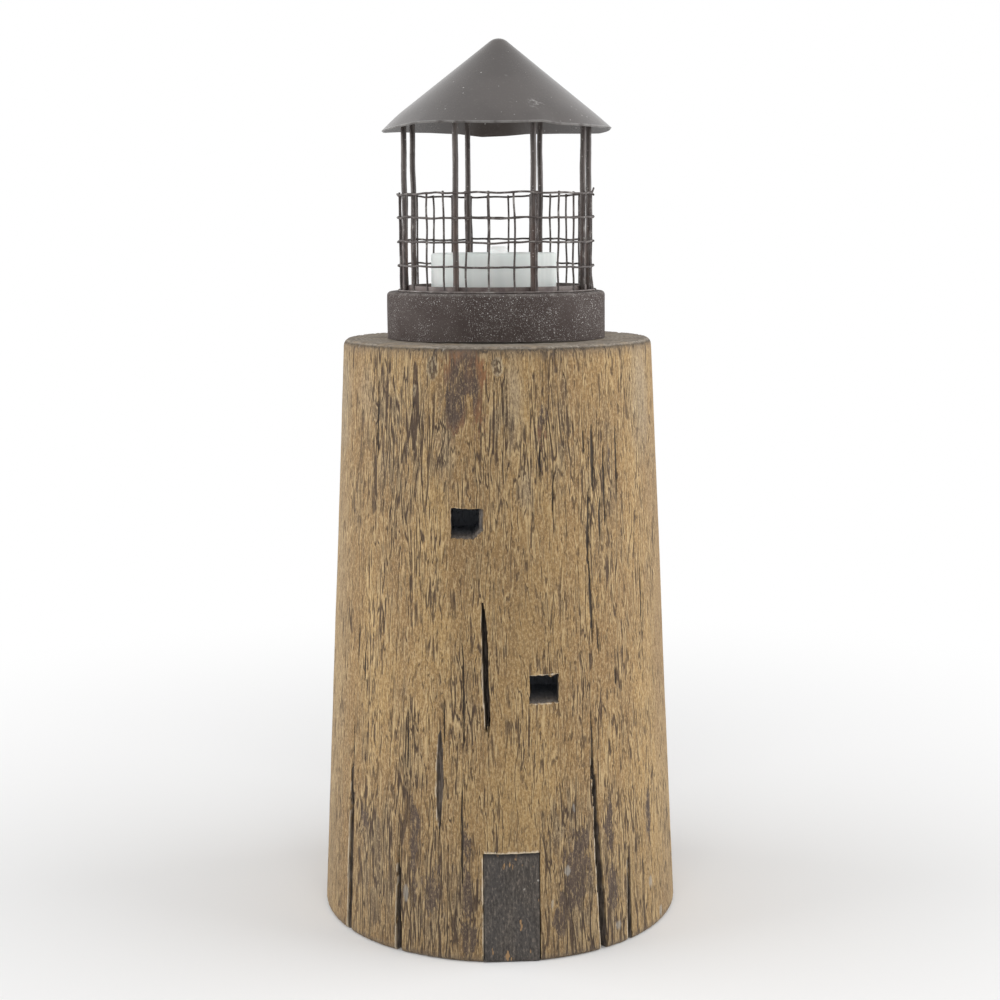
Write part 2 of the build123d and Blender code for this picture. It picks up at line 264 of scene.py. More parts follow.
# %% Turn the log
foot_round = 2.5 * MM
rim_round = 4.0 * MM
foot_rings = (0, 50 * MM, 88 * MM)
under_drum = 56 * MM
top_rings = (30 * MM, 0)
log_columns = 640
wall_rows = 108
same_place = 1e-6


def log_outline():
    """Half outline of the log from the middle of its foot to the middle of its top."""
    rim_level = tower_height - rim_round
    foot_centre = tower_radius(foot_round) - foot_round
    rim_centre = tower_radius(rim_level) - rim_round
    points = [(radius, 0) for radius in foot_rings]
    points += arc_points(foot_centre, foot_round, foot_round, -90, 0, 5)
    for level in np.linspace(foot_round, rim_level, wall_rows)[1:-1]:
        points.append((tower_radius(level), level))
    points += arc_points(rim_centre, rim_level, rim_round, 0, 90, 6)
    for radius in (*np.linspace(rim_centre, under_drum, 11)[1:], *top_rings):
        points.append((radius, tower_height))
    return points


def along_ring(edge):
    """Whether an edge runs round the log, with both ends at one level and one radius."""
    one, other = (v.co for v in edge.verts)
    return max(abs(one.z - other.z), abs(one.xy.length - other.xy.length)) < same_place


log = spin_outline(log_outline(), log_columns // 4)
bmesh.ops.subdivide_edges(log, edges=[e for e in log.edges if along_ring(e)], cuts=3)
print("log", len(log.verts), "vertices")

# %% [markdown]
# ## Drying checks
# A check is a lens-shaped split that follows the grain. Each row below gives its bearing, its
# lowest and highest level, its widest gap, its lean in degrees and its depth, with lengths in
# millimetres; a lowest level under zero means that the split runs out at the foot. The hairlines
# are the same thing before they open: narrow, and all equally shallow.

# %% Drying checks
checks = (
    (-4.2, 118.0, 188.3, 2.9, -2.0, 9), (-19.0, 69.0, 121.0, 3.8, 0.0, 1.8),
    (33.9, -110.0, 110.0, 4.6, -2.7, 5), (-56.0, -92.0, 92.0, 4.8, 0.0, 5),
    (-32.9, -57.4, 57.4, 3.8, 0.0, 5), (44.9, -50.0, 50.0, 3.8, 0.0, 5),
    (128.0, -120.0, 120.0, 4.0, 1.5, 5), (-141.0, 140.0, 236.0, 2.8, 0.0, 9),
    (171.0, 206.0, 300.0, 2.6, -1.0, 9),
)
hairlines = (
    (33.9, 242, 279, 2.6, 0.0), (31.6, 205, 247, 2.2, 2.0), (31.8, 163, 210, 2.0, -2.0),
    (44.9, 238, 280, 1.6, 0.0), (38.7, 222, 268, 1.7, 0.0), (-54.2, 148, 174, 1.6, 1.5),
    (-50.2, 138, 158, 1.4, 0.0), (-11.4, 112, 168, 1.3, -1.0), (-11.6, 40, 96, 1.6, 0.0),
    (-46.1, 258, 300, 1.2, 0.0), (-30.3, 96, 134, 1.3, 0.0), (56.9, 168, 200, 1.4, 0.0),
    (30.4, 262, 276, 1.2, 0.0), (36.5, 217, 241, 2.2, 2.0), (18.6, 231, 258, 1.1, 1.0),
    (14.3, 252, 272, 1.2, 0.0), (34.2, 157, 180, 1.2, -3.0), (41.5, 141, 151, 1.4, 0.0),
    (31.0, 96, 132, 1.1, -1.0), (-55.8, 84, 120, 1.2, 0.0), (-17.6, 114, 140, 1.2, 0.0),
    (104.0, 150, 262, 1.6, 1.0), (-98.0, 60, 170, 1.8, 0.0), (150.0, 30, 120, 1.6, 0.0),
    (-165.0, 90, 200, 1.5, 0.0),
)
hairline_depth = 0.5 * MM
forked_check = checks[0]
blunt_checks = (checks[0], checks[3])
levels = np.linspace(0, tower_height, 500)


def wander(check):
    """How far a check strays sideways at each level, in millimetres."""
    bearing, low, high = check[:3]
    slow, quick = levels / (15 * MM), levels / (4 * MM)
    return 0.5 * lumps(bearing, slow, low) + 0.2 * lumps(bearing, quick, high)


wanders = {check: wander(check) for check in checks + hairlines}


def check_middle(check, level):
    """Bearing of the middle of a check at each level, which wanders a little with the grain."""
    bearing, low, high, _, lean = check[:5]
    rise = level / MM - (low + high) / 2
    across = rise * math.tan(math.radians(lean)) + np.interp(level, levels, wanders[check])
    return bearing + np.degrees(across * MM / tower_radius(level))


def check_rise(check, level):
    """-1 at the lower end of a check, 1 at its upper end."""
    low, high = check[1:3]
    return (level / MM - (low + high) / 2) / ((high - low) / 2)


def check_half(check, level):
    """Half width of a check at each level, in millimetres."""
    taper = 5 if check in blunt_checks else 2
    return np.maximum(check[3] / 2 * (1 - np.abs(check_rise(check, level)) ** taper), 1e-4)


def check_share(check, bearing, level):
    """How deep each place lies in a check: 0 outside it, 1 along its middle."""
    rise = check_rise(check, level)
    across = np.radians(bearing - check_middle(check, level)) * tower_radius(level) / MM
    share = np.clip(1 - (across / check_half(check, level)) ** 2, 0, 1)
    fork = (check is forked_check) & (rise < -0.78) & (np.abs(across + 0.1) < 0.3)
    return np.where(fork, 0, share)


print(len(checks), "checks and", len(hairlines), "hairlines")

# %% [markdown]
# ## Patches
# Weather takes a log unevenly. Some patches have lost their pale fibres and show bare brown
# wood, some are furred with dark splits, some have turned silver or stayed calm and smooth, and
# a few smears of old lime are left. Patches are rows of bearing, level, half width in degrees,
# half height in millimetres and strength, and one function turns rows into a soft mask.

# %% Patches
patches = {
    "bare": (
        (-11.8, 305, 7.0, 15, 1.0), (-14.5, 290, 3.6, 14, 0.9), (-6.5, 287, 2.2, 18, 0.6),
        (24.8, 45, 4.6, 18, 1.0), (27.5, 60, 2.4, 12, 0.7), (20.5, 27, 3.0, 11, 0.7),
        (-9.6, 13, 2.8, 9, 0.9), (-27.9, 66, 2.0, 15, 1.0), (-27.0, 40, 1.4, 18, 0.5),
        (-21.8, 36, 3.0, 16, 0.6), (-9.7, 36, 2.2, 16, 0.6), (18.1, 19, 2.6, 9, 0.8),
        (-10.0, 62, 1.3, 12, 0.6), (36.8, 66, 2.2, 17, 0.75), (38.0, 33, 2.4, 17, 0.7),
        (57.0, 63, 1.8, 13, 0.7), (-48.9, 66, 2.3, 9, 0.7), (15.2, 278, 1.5, 17, 0.6),
        (41.0, 258, 1.5, 20, 0.4), (95.0, 40, 6.0, 22, 0.8), (-110.0, 250, 7.0, 24, 0.8),
        (160.0, 60, 5.0, 30, 0.8), (-160.0, 30, 6.0, 20, 0.9), (120.0, 290, 6.0, 14, 0.8),
    ),
    "furred": (
        (-38.0, 272, 13.0, 34, 0.95), (-18.9, 272, 4.0, 22, 0.9), (0.7, 280, 4.0, 26, 0.9),
        (18.8, 273, 8.0, 26, 0.8), (36.5, 240, 7.0, 42, 0.5), (-31.0, 112, 5.0, 26, 0.6),
        (-12.0, 128, 4.0, 30, 0.5), (-20.0, 30, 16.0, 30, 0.75), (30.0, 30, 16.0, 36, 0.9),
        (-43.0, 46, 10.0, 36, 0.9), (23.0, 66, 9.0, 24, 0.9), (-57.0, 232, 4.0, 14, 0.6),
        (110.0, 80, 22.0, 50, 0.6), (-120.0, 150, 26.0, 60, 0.6), (170.0, 240, 24.0, 50, 0.7),
    ),
    "lime": (
        (21.3, 47, 1.3, 3, 1.0), (-30.4, 33, 1.1, 5, 0.9), (39.8, 11, 1.3, 3, 0.9),
        (56.8, 27, 1.4, 5, 0.7), (24.0, 79, 0.7, 4, 0.6), (16.3, 30, 0.6, 3, 0.7),
        (-17.1, 23, 0.9, 3, 0.5), (63.6, 6, 1.6, 4, 0.7), (-14.2, 200, 2.0, 5, 0.35),
        (24.2, 151, 0.9, 2, 0.45), (26.2, 129, 1.2, 2, 0.4),
    ),
    "silver": (
        (-76.0, 285, 9.0, 34, 1.0), (62.0, 290, 7.0, 30, 0.9), (5.6, 290, 2.6, 24, 0.8),
        (9.3, 248, 2.4, 12, 0.8), (-54.0, 292, 5.0, 16, 0.5), (-18.0, 266, 3.0, 12, 0.6),
        (76.0, 150, 13.0, 160, 0.3), (-77.0, 150, 13.0, 160, 0.5), (130.0, 220, 16.0, 60, 0.8),
        (-150.0, 110, 16.0, 60, 0.8),
    ),
    "calm": (
        (8.0, 178, 13.0, 34, 0.85), (-8.0, 212, 14.0, 20, 0.6), (3.0, 84, 8.0, 26, 0.25),
        (74.0, 160, 10.0, 60, 0.6),
    ),
}
knots = (
    (-23.0, 307.0, 2.8, 7.5, 1.0), (0.2, 308.0, 2.6, 6.5, 1.0), (-29.9, 296.0, 1.2, 3.5, 0.9),
    (118.0, 180.0, 4.0, 9.0, 1.0),
)


def patch_mask(rows, bearing, level, reach=1.5):
    mask = np.zeros_like(level)
    edge = 0.35 * (reach - 1) * 2 * lumps(bearing / 1.6, level / (9 * MM))
    for middle, height, half_width, half_height, strength in rows:
        far = np.hypot((bearing - middle) / half_width, (level / MM - height) / half_height)
        mask = np.maximum(mask, strength * np.clip(reach - far + edge, 0, 1))
    return mask


print(sum(len(rows) for rows in patches.values()), "patches of", len(patches), "kinds")

# %% [markdown]
# ## Weather the log
# The side is lowered by a few tenths of a millimetre in long upright ridges, as rain takes the
# soft early wood and leaves the hard late wood. Everything goes inwards, so that the log never
# grows past its CAD size. Sculpting would do this by hand; moving the vertices with arrays of
# numbers does it the same way each time. Rows of ridges give height, width and length in
# millimetres.

# %% Weather the log
front_pull = 18.0
check_pull = 0.65
check_reach = 1.3
lip_offset = 1.05
ridges = ((0.45, 26, 120), (0.35, 3.4, 55), (0.22, 1.3, 16))
ridge_radius = 95
rim_reach = 9 * MM
nick_depth, nick_drop = 1.6 * MM, 1.2 * MM


def drawn_columns(bearing, level):
    """Bearings of the columns once they are drawn to the front and the edges of each check."""
    drawn = bearing - front_pull * np.sin(np.radians(bearing))
    for check in checks + hairlines:
        beyond = np.maximum(check[1] - level / MM, level / MM - check[2])
        pull = check_pull * np.clip(1 - beyond / 20, 0, 1)
        half = np.degrees(check_half(check, level) * MM / tower_radius(level))
        for side in (-lip_offset, lip_offset):
            off = drawn - check_middle(check, level) - side * half
            drawn = drawn - pull * off * np.exp(-((off / check_reach) ** 2))
    return drawn


def side_relief(bearing, level):
    """How far each place of the log's side lies below its turned surface."""
    angle, tall = np.radians(bearing), level / MM
    x, y = ridge_radius * np.sin(angle), -ridge_radius * np.cos(angle)
    low = np.zeros_like(level)
    for height, width, length in ridges:
        low += height * (0.5 - 0.5 * lumps(x / width, y / width, tall / length))
    low += 0.5 * np.clip(patch_mask(patches["bare"], bearing, level) - 0.3, 0, 1)
    low *= MM
    for check in checks:
        low += check[5] * MM * np.minimum(1, 1.7 * np.sqrt(check_share(check, bearing, level)))
    for check in hairlines:
        low += hairline_depth * np.sqrt(check_share(check, bearing, level))
    return low


def weather_log(bm):
    co = np.array([v.co for v in bm.verts])
    radius, level = np.hypot(co[:, 0], co[:, 1]), co[:, 2]
    bearing = drawn_columns(np.degrees(np.arctan2(co[:, 0], -co[:, 1])), level)
    inside = tower_radius(level) - radius
    share = np.clip(1 - inside / (12 * MM), 0, 1)
    nick = np.clip(lumps(bearing / 3.5, 0.0, 3.0) + 0.5 * lumps(bearing / 1.1, 0.0, 9.0), 0, 1)
    near_rim = np.clip(1 - (tower_height - level) / rim_reach, 0, 1)
    near_rim *= np.clip(1 - inside / rim_reach, 0, 1)
    radius = radius - share * side_relief(bearing, level) - nick_depth * near_rim**2 * nick
    on_top = (level > tower_height - 0.5 * MM) & (radius < 80 * MM)
    level = level - nick_drop * near_rim * nick
    level -= on_top * MM * (0.35 + 0.3 * lumps(co[:, 0] / (9 * MM), co[:, 1] / (9 * MM)))
    angle = np.radians(bearing)
    moved = np.stack([radius * np.sin(angle), -radius * np.cos(angle), level], axis=1)
    for vert, place in zip(bm.verts, moved.tolist()):
        vert.co = place


weather_log(log)
print("log weathered")

# %% [markdown]
# ## Windows and door opening
# The two windows are blind holes chopped straight back with a chisel, and the door lies in a
# shallow recess. To cut them, the mesh near each opening is made finer, sliced along the four
# sides with `bisect_plane`, and the faces inside are pushed in with an extrusion. A boolean
# would leave long thin triangles here; this keeps clean edges that can then be chipped.

# %% Cut the openings
window_depth = 34 * MM
upper_window = (-10.3, 229.3 * MM, 16.2 * MM, 14.4 * MM)
lower_window = (14.3, 144.0 * MM, 14.6 * MM, 13.8 * MM)
lip_shake = 0.42 * MM
splay_depth, splay_rise = 2.4 * MM, 1.3 * MM
neck_depth = 4 * MM


def window_edges(window):
    bearing, level, width, height = window
    middle = on_bearing(bearing, tower_radius(level), level)
    right, low = middle.x + width / 2 + 0.5 * MM, level - height / 2 - 1.2 * MM
    return middle.x - width / 2, right, low, level + height / 2, middle.y


def slice_mesh(bm, near, point, normal):
    faces = [f for f in bm.faces if near(f.calc_center_median())]
    edges = {e for f in faces for e in f.edges}
    verts = {v for f in faces for v in f.verts}
    geom = faces + list(edges) + list(verts)
    bmesh.ops.bisect_plane(bm, geom=geom, plane_co=point, plane_no=normal, dist=weld)


def border(faces):
    """The vertices between a region of faces and the mesh round it."""
    region = set(faces)
    verts = {v for f in faces for v in f.verts}
    return [v for v in verts if any(f not in region for f in v.link_faces)]


def push_in(bm, faces):
    """Extrude a region of faces, open what was there, and give its new vertices and faces."""
    made = bmesh.ops.extrude_face_region(bm, geom=faces)["geom"]
    bmesh.ops.delete(bm, geom=[f for f in faces if f.is_valid], context="FACES")
    verts = [v for v in made if isinstance(v, bmesh.types.BMVert)]
    return verts, [f for f in made if isinstance(f, bmesh.types.BMFace)]


def chop_window(bm, window, cut_corner, splinter_drop, slant):
    """Chop a window; a corner may be cut off, a splinter may hang and the right side slant."""
    left, right, low, high, mouth = window_edges(window)
    wide, tall = right - left, high - low

    def near(place, margin=5 * MM):
        across = left - margin < place.x < right + margin
        return across and low - margin < place.z < high + margin and place.y < 0

    def shares(vert):
        return (vert.co.x - left) / wide, (high - vert.co.z) / tall

    edges = [e for e in bm.edges if near(e.verts[0].co) and near(e.verts[1].co)]
    bmesh.ops.subdivide_edges(bm, edges=edges, cuts=2, use_grid_fill=True)
    for side in (left, right):
        slice_mesh(bm, near, (side, 0, 0), (1, 0, 0))
    for level in (low, high):
        slice_mesh(bm, near, (0, 0, level), (0, 0, 1))
    hole = [f for f in bm.faces if near(f.calc_center_median(), 0.0)]
    for vert in border(hole):
        to_right, to_foot = shares(vert)
        shake = noise.noise_vector(vert.co / (1.6 * MM))
        shake += noise.noise_vector(vert.co / (5 * MM))
        vert.co += Vector((shake.x, 0, shake.z)) * lip_shake
        past = max(0, to_right + to_foot - cut_corner) / 2
        tongue = math.exp(-(((to_right - 0.76) / 0.09) ** 2)) * max(0, 1 - to_foot * 4)
        vert.co += Vector((-past * wide, 0, past * tall - splinter_drop * tongue))
    splay, hole = push_in(bm, hole)
    for vert in splay:
        to_right, to_foot = shares(vert)
        rise = splay_rise * max(to_foot, 0) ** 3
        vert.co += Vector((-slant * max(to_right, 0) ** 3, splay_depth, rise))
    neck, hole = push_in(bm, hole)
    for vert in neck:
        vert.co.y += neck_depth
    back, hole = push_in(bm, hole)
    for vert in back:
        vert.co.y = mouth + window_depth + 0.8 * MM * noise.noise(vert.co / (4 * MM))


chop_window(log, upper_window, 1.7, 0.0, 2.4 * MM)
chop_window(log, lower_window, 2.0, 1.6 * MM, 0.5 * MM)
print("windows cut,", len(log.faces), "faces")

# %% [markdown]
# ## The door recess
# The recess follows the lean of the tower's side and is open at the foot. Its bearing is a few
# degrees off the front, so the cutting planes are turned with it.

# %% Cut the door recess
door_bearing = 3.7
door_width = 29.0 * MM
door_height = 57.8 * MM
door_thickness = 7.0 * MM
door_setback = 1.6 * MM
recess_gap = 0.3 * MM
recess_shake = 0.18
worn_height = 34 * MM
side_front = -88.5 * MM
door_turn = Matrix.Rotation(math.radians(door_bearing), 4, "Z")
to_door = door_turn.inverted()


def cut_recess(bm):
    half, top = door_width / 2 + recess_gap, door_height + recess_gap

    def near(place, margin=6 * MM):
        local = to_door @ place
        return abs(local.x) < half + margin and local.z < top + margin and local.y < side_front

    across = door_turn @ Vector((1, 0, 0))
    for side in (-half, half):
        slice_mesh(bm, near, across * side, across)
    slice_mesh(bm, near, (0, 0, top), (0, 0, 1))
    hole = [f for f in bm.faces if near(f.calc_center_median(), 0.0)]
    for vert in border(hole):
        if vert.co.z > 1 * MM:
            shake = noise.noise_vector(vert.co / (3 * MM)) * recess_shake
            spread = math.copysign(max(0, 1 - vert.co.z / worn_height), (to_door @ vert.co).x)
            vert.co += MM * (across * (shake.x + spread) + Vector((0, 0, shake.z)))
    verts, hole = push_in(bm, hole)
    for vert in verts:
        local = to_door @ vert.co
        local.y = -(tower_radius(local.z) - door_setback - door_thickness - recess_gap)
        vert.co = door_turn @ local
    bmesh.ops.remove_doubles(bm, verts=verts, dist=same_place)
    bmesh.ops.recalc_face_normals(bm, faces=bm.faces)


cut_recess(log)
print("recess cut,", len(log.faces), "faces")

# %% [markdown]
# ## Timber
# The log is tan fibre over darker wood, with thin dark splits along the grain. A split is drawn
# where a noise that is stretched upwards passes through its middle level, and a second noise
# breaks that line up. What belongs to one place, such as a check or a bare patch, comes in as an
# attribute on the vertices; the shader roughens its edge with noise, so that it never shows the
# size of the mesh. The sawn ends carry rings instead.

# %% Timber
def splits(wood, where, size, often):
    """Dark splits, and the pale lips beside them."""
    field = wood.noise(size, 1.0, 0.5, 0.045, where) - 0.5
    near = field.most(0 - field)
    breaks = wood.noise(size, 2.0, 0.6, 0.3, where)
    kept = (breaks + often * 0.22).rise(0.475, 0.57)
    lip = near.rise(0.04, 0.055) * (1 - near.rise(0.06, 0.1))
    return (1 - near.rise(0.01, 0.036)) * kept, lip * kept


def timber():
    wood = Finish("weathered_timber", specular_ior_level=0.3)
    sockets = {"Vector": wood.stretch(1, 1, 0.3), "Scale": 60, "Detail": 1.5}
    sway = wood.node("ShaderNodeTexNoise", {}, sockets, "Color")
    sockets = {0: sway, 1: (0.0045, 0.0045, 0), 2: wood.place}
    wavy = wood.node("ShaderNodeVectorMath", {"operation": "MULTIPLY_ADD"}, sockets)
    broad = wood.noise(0.03, 3.0, up=0.3)
    mottle = wood.noise(0.006, 3.0, 0.6, 0.25, wavy)
    fibre = wood.noise(0.0012, 3.0, 0.65, 0.13, wavy)
    grain = wood.noise(0.0008, 2.0, 0.7, 0.45)
    streak = wood.noise(0.0032, 4.0, 0.65, 0.06)
    cluster = wood.noise(0.014, 3.0, up=0.35)
    ragged = wood.noise(0.0016, 4.0, 0.7, 0.25) - 0.5
    furred, silver, calm = (wood.attribute(name) for name in ("furred", "silver", "calm"))
    often = cluster.rise(0.4, 0.66) * 0.6 + furred * 0.75 - silver * 0.25 - calm * 0.35
    thin, thin_lip = splits(wood, wavy, 0.0018, often)
    wide, wide_lip = splits(wood, wavy, 0.0042, often - 0.3)
    rough = often * 0.6 + 0.45
    light = broad.rise(0.36, 0.64)
    wood.colour = wood.blend(light, (0.29, 0.177, 0.075), (0.425, 0.275, 0.115))
    wood.coat(mottle.rise(0.5, 0.7) * 0.4 + furred * 0.3, (0.2, 0.125, 0.064))
    wood.coat(silver * 0.75, (0.34, 0.28, 0.2))
    wood.coat(calm * 0.5, (0.235, 0.146, 0.064))
    wood.coat((1 - fibre).rise(0.45, 0.62) * rough * 0.6, (0.13, 0.084, 0.05))
    wood.coat((1 - fibre).rise(0.46, 0.56) * furred * 0.6, (0.095, 0.064, 0.043))
    wood.coat((mottle + furred * 0.12).rise(0.58, 0.66) * furred * 0.75, (0.1, 0.074, 0.054))
    wood.coat(fibre.rise(0.52, 0.7) * rough * 0.6, (0.58, 0.44, 0.255))
    wood.coat((1 - grain).rise(0.46, 0.66) * 0.52, (0.15, 0.095, 0.05))
    wood.coat(grain.rise(0.5, 0.66) * 0.4, (0.6, 0.455, 0.26))
    wood.coat(thin_lip.most(wide_lip) * 0.45, (0.66, 0.49, 0.265))
    ink = wood.blend(grain, (0.03, 0.021, 0.017), (0.11, 0.068, 0.043))
    wood.coat(thin.most(wide) * (often.rise(-0.1, 0.75) * 0.35 + 0.6), ink)
    bare = marks(wood, streak, fibre, grain, cluster, ragged)
    sawn, sawn_height = sawn_end(wood)
    ends = wood.attribute("end")
    wood.coat(ends, sawn)
    hollow = wood.attribute("hollow")
    reveal = wood.blend(ragged * 2 + grain, (0.05, 0.045, 0.043), (0.2, 0.17, 0.145))
    wood.coat(hollow.rise(0.0, 0.06), reveal)
    wood.coat(hollow.rise(0.35, 0.9), (0.34, 0.36, 0.4))
    height = (fibre * 0.4 + grain * 0.3 - thin * 0.6 - wide * 0.6) * (1 - bare * 0.5)
    height = height * (1 - ends) + sawn_height * ends
    return wood.seal(0.8 - bare * 0.12, height, 0.8 * MM, 0.9)


def marks(wood, streak, fibre, grain, cluster, ragged):
    """Add what the masks on the mesh ask for, from bare and limed patches to splits."""
    level = wood.level()
    mask = wood.attribute("bare") + ragged * 1.4 + (streak - 0.5) * 1.5
    bare = mask.rise(0.4, 0.56) * (1 - fibre.rise(0.54, 0.66) * 0.75)
    smooth = wood.blend(streak, (0.1, 0.066, 0.049), (0.062, 0.043, 0.034))
    smooth = wood.blend(grain.rise(0.46, 0.66) * 0.55, smooth, (0.2, 0.145, 0.1))
    smooth = wood.blend((0 - ragged).rise(0.0, 0.16) * 0.75, smooth, (0.045, 0.031, 0.026))
    smooth = wood.blend(ragged.rise(0.05, 0.2) * 0.6, smooth, (0.25, 0.172, 0.11))
    wood.coat(bare * (0.97 - grain.rise(0.56, 0.68) * 0.5), smooth)
    glow = bare * (1 - mask.rise(0.65, 1.1)) * cluster.rise(0.42, 0.58) * level.rise(0.26, 0.28)
    wood.coat(glow * (0.4 + grain * 0.7), (0.3, 0.14, 0.058))
    knot = wood.attribute("knot")
    ring = (knot * 8 + ragged * 16).wave()
    ringed = wood.blend(ring.rise(-0.8, 0.8), (0.085, 0.058, 0.04), (0.46, 0.37, 0.24))
    wood.coat((knot + ragged * 0.9).rise(0.1, 0.4) * 0.8, ringed)
    lime = (wood.attribute("lime") + ragged * 0.9).rise(0.35, 0.7)
    wood.coat(lime * 0.6, (0.45, 0.42, 0.37))
    wood.coat((1 - level.rise(0.0, 0.11)) * 0.22, (0.09, 0.068, 0.048))
    # Painted shade: a dark band just below the top rim and a dark line along the foot.
    rim_and_foot_shade = level.rise(0.3095, 0.3165).most(1 - level.rise(0.001, 0.005)) * (ragged + 0.75)
    wood.coat(rim_and_foot_shade * 0.7, (0.14, 0.11, 0.085))
    wood.coat(level.rise(0.3145, 0.3168) * (ragged + 0.9) * 0.8, (0.06, 0.052, 0.045))
    # Pale torn fibres, with painted highlight on the left lips of checks and the door's left side.
    torn_and_highlight = (wood.attribute("splinter") + ragged * 1.4).rise(0.4, 0.75)
    wood.coat(torn_and_highlight * 0.85, (0.66, 0.56, 0.42))
    hair = wood.attribute("hairline")
    broken = (hair + ragged * 1.3 + (streak - 0.5) * 0.9).rise(0.3, 0.5) * hair.rise(0.02, 0.2)
    wood.coat(broken * 0.92, (0.03, 0.024, 0.021))
    split = (wood.attribute("check") + ragged * 0.08).rise(0.01, 0.1)
    inside = wood.blend(fibre.rise(0.4, 0.62), (0.06, 0.049, 0.042), (0.17, 0.14, 0.117))
    wood.coat(split * 0.97, inside)
    return bare


def sawn_end(wood):
    """Colour and height of the sawn ends: growth rings, fresher patches and grey weather."""
    flat = wood.stretch(1, 1, 0)
    rings = ((wood.far(flat) + wood.noise(0.03, where=flat) * 0.006) * 2600).wave()
    fuzz = wood.noise(0.0016, 3.0, 0.65)
    tone = (rings * 0.07 + fuzz).rise(0.3, 0.72)
    colour = wood.blend(tone, (0.185, 0.158, 0.127), (0.385, 0.338, 0.28))
    fresh = wood.noise(0.016, 3.0, 0.6, where=wood.stretch(1, 1.6, 1)).rise(0.46, 0.66)
    colour = wood.blend(fresh * 0.45, colour, (0.36, 0.27, 0.17))
    dirt = wood.noise(0.012, 3.0, 0.6).rise(0.5, 0.7)
    return wood.blend(dirt * 0.55, colour, (0.14, 0.107, 0.082)), rings * 0.05 + fuzz * 0.5


timber_finish = timber()
print("timber has", len(timber_finish.tree.nodes), "nodes")

# %% [markdown]
# ## Attributes of the log
# The masks are worked out from where each vertex is and stored on the mesh, so the material can
# read them. A splinter mask marks the torn, pale fibres at the lips of the openings. It also
# carries painted highlight: a pale lip on the left side of each check only, and a paler left side
# of the door, as if lit from the left.

# %% Attributes of the log
lip_reach = 1.1 * MM
hollow_start, hollow_reach = 0.9 * MM, 14 * MM
skin = 4 * MM


def near_zero(distance, reach):
    """1 where a distance is 0, falling evenly to 0 at a reach on either side."""
    return np.clip(1 - np.abs(distance) / reach, 0, 1)


def log_masks(bm):
    bm.normal_update()
    up = np.array([v.normal.z for v in bm.verts])
    x, y, level = np.array([v.co for v in bm.verts]).T
    bearing = np.degrees(np.arctan2(x, -y))
    deep = tower_radius(level) - np.hypot(x, y)
    split, lip, hollow = (np.zeros_like(level) for _ in range(3))
    for check in checks:
        split = np.maximum(split, check_share(check, bearing, level))
        # Painted highlight: only the left lip of each check is made pale, as if lit from the left.
        lip = np.maximum(lip, check_share(check, bearing + 0.5, level) * (split < 0.05))
    hair = np.max([check_share(line, bearing, level) for line in hairlines], axis=0)
    torn_and_highlight = 0.7 * np.clip(lip * 4, 0, 1)
    for window in (upper_window, lower_window):
        left, right, low, high, _ = window_edges(window)
        out = np.maximum(np.maximum(left - x, x - right), np.maximum(low - level, level - high))
        sunk = y + np.sqrt(np.maximum(tower_radius(level) ** 2 - x**2, 0))
        depth = np.clip((sunk - hollow_start) / hollow_reach, 0, 1)
        hollow = np.maximum(hollow, (out < MM) * (y < 0) * depth)
        to_right = np.clip((x - left) / (right - left), 0, 1)
        to_head = np.clip((level - low) / (high - low), 0, 1)
        if window is upper_window:
            pale = (0.75 - 0.5 * to_right) * to_head**0.3
        else:
            pale = 0.15 + 0.55 * (2 * to_head - 1) ** 4
        torn_and_highlight = np.maximum(torn_and_highlight, pale * near_zero(out, lip_reach) * (y < 0))
    sideways = np.array([(to_door @ v.co).x for v in bm.verts])
    # The door's sides show torn fibres, and the left side is paler than the right: painted
    # highlight.
    at_side = near_zero(np.abs(sideways) - door_width / 2 - 0.6 * MM, MM)
    at_side *= (level < door_height) * np.where(sideways < 0, 1.0, 0.45)
    at_head = near_zero(level - door_height - 0.5 * MM, 0.9 * MM)
    at_head *= np.abs(sideways) < door_width / 2
    torn_and_highlight = np.maximum(torn_and_highlight, np.where(y < 0, 0.8 * at_side + at_head, 0))
    ends = (level < MM) | (level > tower_height - skin)
    masks = {name: patch_mask(rows, bearing, level) for name, rows in patches.items()}
    return masks | {
        "knot": patch_mask(knots, bearing, level, 1.0),
        "check": split * (hollow < 0.01),
        "hollow": hollow,
        "splinter": np.clip(torn_and_highlight, 0, 1) * (deep < skin),
        "hairline": hair * (deep < skin),
        "end": ends & (np.abs(up) > 0.6) & (deep > 1.5 * MM),
    }


masks = log_masks(log)
tower = piece(
    "timber_tower", log, timber_finish, "tower", "weathered_timber", "tower_log", crease=60
)
for name, values in masks.items():
    mask = tower.data.attributes.new(name, "FLOAT", "POINT")
    mask.data.foreach_set("value", values.astype(np.float32))
print("masks", ", ".join(masks))

# %% [markdown]
# ## The door
# The door is a thin board painted almost black and set a little behind the tower's side. A grid
# gives its face enough vertices for brush marks and chips, and an extrusion gives it its
# thickness; then the whole board is leaned back with the tower. Its pale specks are cells of a
# Voronoi pattern: each cell has a random colour, and only those with a high number are kept.

# %% Make the door
door_foot_gap = 0.5 * MM
arris_width = 0.35 * MM
brush_depth = 0.14 * MM


